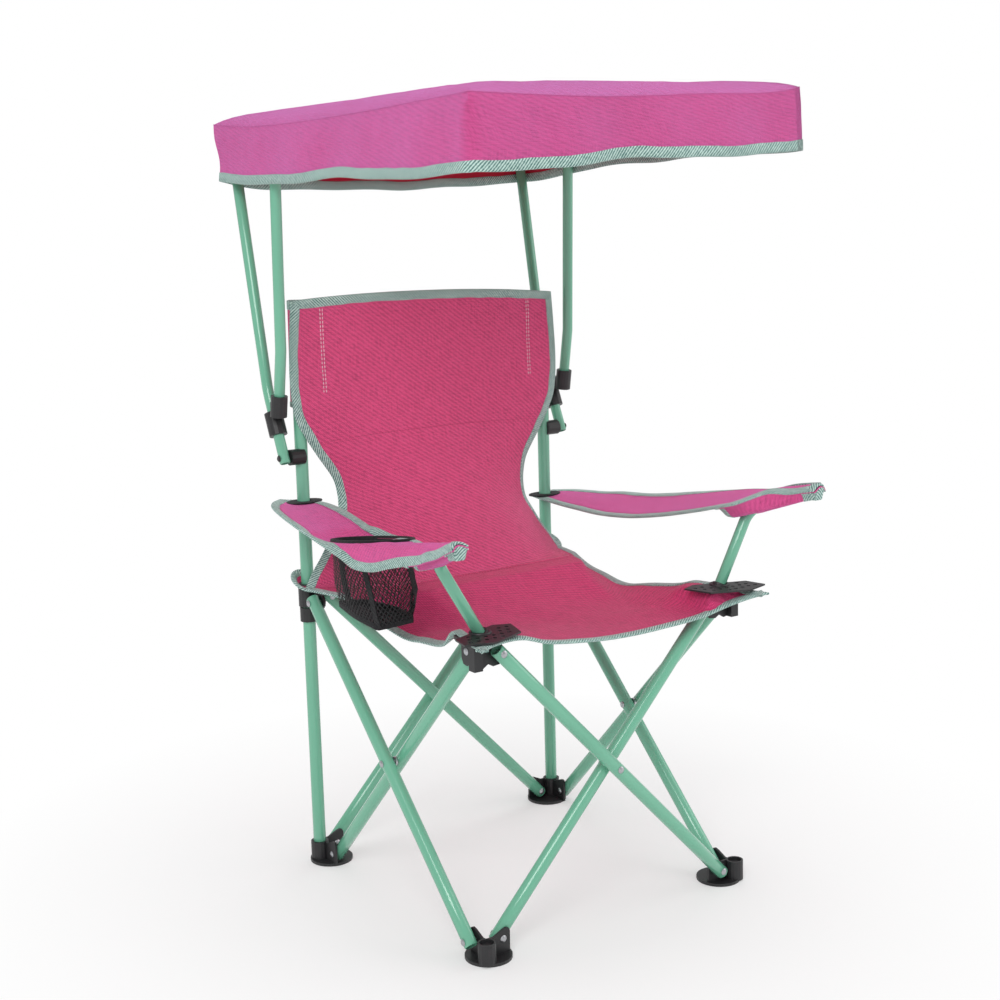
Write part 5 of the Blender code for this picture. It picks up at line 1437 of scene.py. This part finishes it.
def make_plate(side):
    word = SIDE[side]
    low = SEAT_CORNER_Z + 0.0008 + 0.0014
    outline = [at(side * x, y, low) for x, y in PLATE_CORNERS]
    top = [p + Vector((0, 0, 0.0015)) for p in outline]
    size = len(outline)
    faces = [tuple(range(size)), tuple(range(size, 2 * size))]
    faces += [(k, (k + 1) % size, (k + 1) % size + size, k + size) for k in range(size)]
    plate = mesh_object(f"corner_plate_{word}_black", outline + top, faces, PLASTIC,
                        [(v.x, v.y) for v in outline + top])
    spot = arm_post_at(side, low)
    cut_hole(plate, oval(spot.x, spot.y - SHIFT_Y, 0.0105, 0.0095, 24), low - 0.01, low + 0.01)
    for i in range(12):
        for j in range(8):
            x, y = 0.1005 + 0.0085 * i + 0.0040 * (j % 2), -0.178 + 0.0082 * j
            if math.hypot(side * x - spot.x, y + SHIFT_Y - spot.y) > 0.0145 and inside_plate(x, y, 0.0042):
                cut_hole(plate, oval(side * x, y, 0.0021, 0.0021, 10), low - 0.01, low + 0.01)
    dress(plate, f"hub_{word}", f"corner_plate_{word}", slot="black_plastic")
    rings = grommet_rings(spot.x, spot.y, low + 0.0016, ARM_R + 0.0012, 0.0100, 0.0012, stretch=1.05)
    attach(ring_mesh(f"corner_plate_ring_{word}", rings, PLASTIC, closed=True), f"hub_{word}")


# Cloths: each sheet goes with its body, and what is sewn on it goes with it.
def soft(sheet, pieces, body, nodes, slot, axis, anchor, keep):
    dress(sheet, body, *nodes, slot=slot)
    for piece in pieces:
        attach(piece, body)
    for piece in [sheet] + pieces:
        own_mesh(piece)


def make_cloths():
    sheet, area, pieces = make_backrest()
    sleeves = [piece for piece in pieces if piece.name.startswith("back_sleeve")]
    for piece in sleeves:
        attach(piece, "rear_frame_left" if piece.name.endswith("left") else "rear_frame_right")
    flattened = [piece for piece in pieces if piece not in sleeves]
    soft(sheet, flattened, "rear_frame_left", ["backrest_sling"], "sling_cloth", (1, 0, 0), (-0.1525, 0, 0.4),
         0.41)
    sheet, area, pieces = make_seat()
    soft(sheet, pieces, "seat", ["seat_sling"], "sling_cloth", (1, 0, 0), (-0.1254, 0, 0.3), 0.28)
    for side in (LEFT, RIGHT):
        sheet, area, pieces = make_tab(side)
        dress(sheet, f"slider_{SIDE[side]}", slot="sling_cloth")
        for piece in pieces:
            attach(piece, f"slider_{SIDE[side]}")
    sheet, area, pieces = make_canopy()
    soft(sheet, pieces, "canopy_frame_left", ["canopy_cover"], "canopy_cloth", (1, 0, 0), (-0.187, 0, 0.7),
         0.513)
    for side in (LEFT, RIGHT):
        word = SIDE[side]
        sheet, area, pieces = make_panel(side)
        fold = ((0, 0.885, 0.464), (0, -0.19 + SHIFT_Y, 0.39), 0.32)
        soft(sheet, pieces, f"hub_{word}", [f"arm_panel_{word}"], "sling_cloth", *fold)
        if side == LEFT:
            net, net_area, net_pieces = make_cup()
            soft(net, net_pieces, "hub_left", ["cup_bag"], "cup_mesh", *fold)
        make_plate(side)


make_cloths()

MOULDED = ("foot_", "hub_", "slider_", "stop_ring_", "canopy_bracket_", "canopy_connector_")
for name, node in frame["nodes"].items():
    if name.startswith(MOULDED):
        for index in range(len(node.data.materials)):
            node.data.materials[index] = PLASTIC


# Floor, light and world.
def make_floor():
    floor = bpy.data.meshes.new("floor")
    reach = 14.0
    floor.from_pydata([(-reach, -reach, 0), (reach, -reach, 0), (reach, reach, 0), (-reach, reach, 0)], [],
                      [(0, 1, 2, 3)])
    ground = bpy.data.objects.new("floor", floor)
    ground.location.z = -0.0002
    bpy.context.scene.collection.objects.link(ground)
    graph = Graph("pale_floor")
    graph.shader.inputs["Base Color"].default_value = (0.90, 0.90, 0.90, 1)
    graph.shader.inputs["Roughness"].default_value = 0.8
    place = graph.place()
    length = graph.add("ShaderNodeVectorMath", operation="LENGTH")
    graph.link(place, length.inputs[0])
    fade = graph.add("ShaderNodeMapRange")
    graph.link(length.outputs["Value"], fade.inputs["Value"])
    fade.inputs["From Min"].default_value = 0.22
    fade.inputs["From Max"].default_value = 0.60
    fade.inputs["To Min"].default_value = 0.35
    path = graph.add("ShaderNodeLightPath")
    seen = graph.math("MAXIMUM", path.outputs["Is Camera Ray"], path.outputs["Is Glossy Ray"])
    white = graph.add("ShaderNodeEmission")
    white.inputs["Strength"].default_value = 1.0
    blend = graph.add("ShaderNodeMixShader")
    graph.link(graph.math("MULTIPLY", seen, fade.outputs[0]), blend.inputs[0])
    graph.link(graph.shader.outputs[0], blend.inputs[1])
    graph.link(white.outputs[0], blend.inputs[2])
    graph.link(blend.outputs[0], graph.output.inputs["Surface"])
    floor.materials.append(graph.material)


def make_world():
    world = bpy.data.worlds.new("studio")
    world.use_nodes = True
    tree = world.node_tree
    back = tree.nodes["Background"]
    back.inputs["Color"].default_value = (1, 1, 1, 1)
    back.inputs["Strength"].default_value = 0.62
    bright = tree.nodes.new("ShaderNodeBackground")
    bright.inputs["Color"].default_value = (1, 1, 1, 1)
    bright.inputs["Strength"].default_value = 1.0
    path = tree.nodes.new("ShaderNodeLightPath")
    either = tree.nodes.new("ShaderNodeMath")
    either.operation = "MAXIMUM"
    tree.links.new(path.outputs["Is Camera Ray"], either.inputs[0])
    tree.links.new(path.outputs["Is Transmission Ray"], either.inputs[1])
    mixer = tree.nodes.new("ShaderNodeMixShader")
    tree.links.new(either.outputs[0], mixer.inputs[0])
    tree.links.new(back.outputs[0], mixer.inputs[1])
    tree.links.new(bright.outputs[0], mixer.inputs[2])
    tree.links.new(mixer.outputs[0], tree.nodes["World Output"].inputs["Surface"])
    bpy.context.scene.world = world


def make_lamps():
    for name, place, target, power, size in (
        ("key", (-1.7, -1.6, 1.9), (0, 0, 0.35), 28, 1.2),
        ("fill", (1.9, -1.2, 1.3), (0, 0, 0.35), 12, 1.6),
        ("top", (0.2, 0.5, 2.4), (0, 0, 0.4), 14, 1.8),
    ):
        data = bpy.data.lights.new(name, "AREA")
        data.energy = power
        data.size = size
        lamp = bpy.data.objects.new(name, data)
        lamp.location = place
        lamp.rotation_euler = (Vector(target) - Vector(place)).to_track_quat("-Z", "Y").to_euler()
        bpy.context.scene.collection.objects.link(lamp)
    bpy.context.scene.view_settings.view_transform = "Standard"


make_floor()
make_world()
make_lamps()
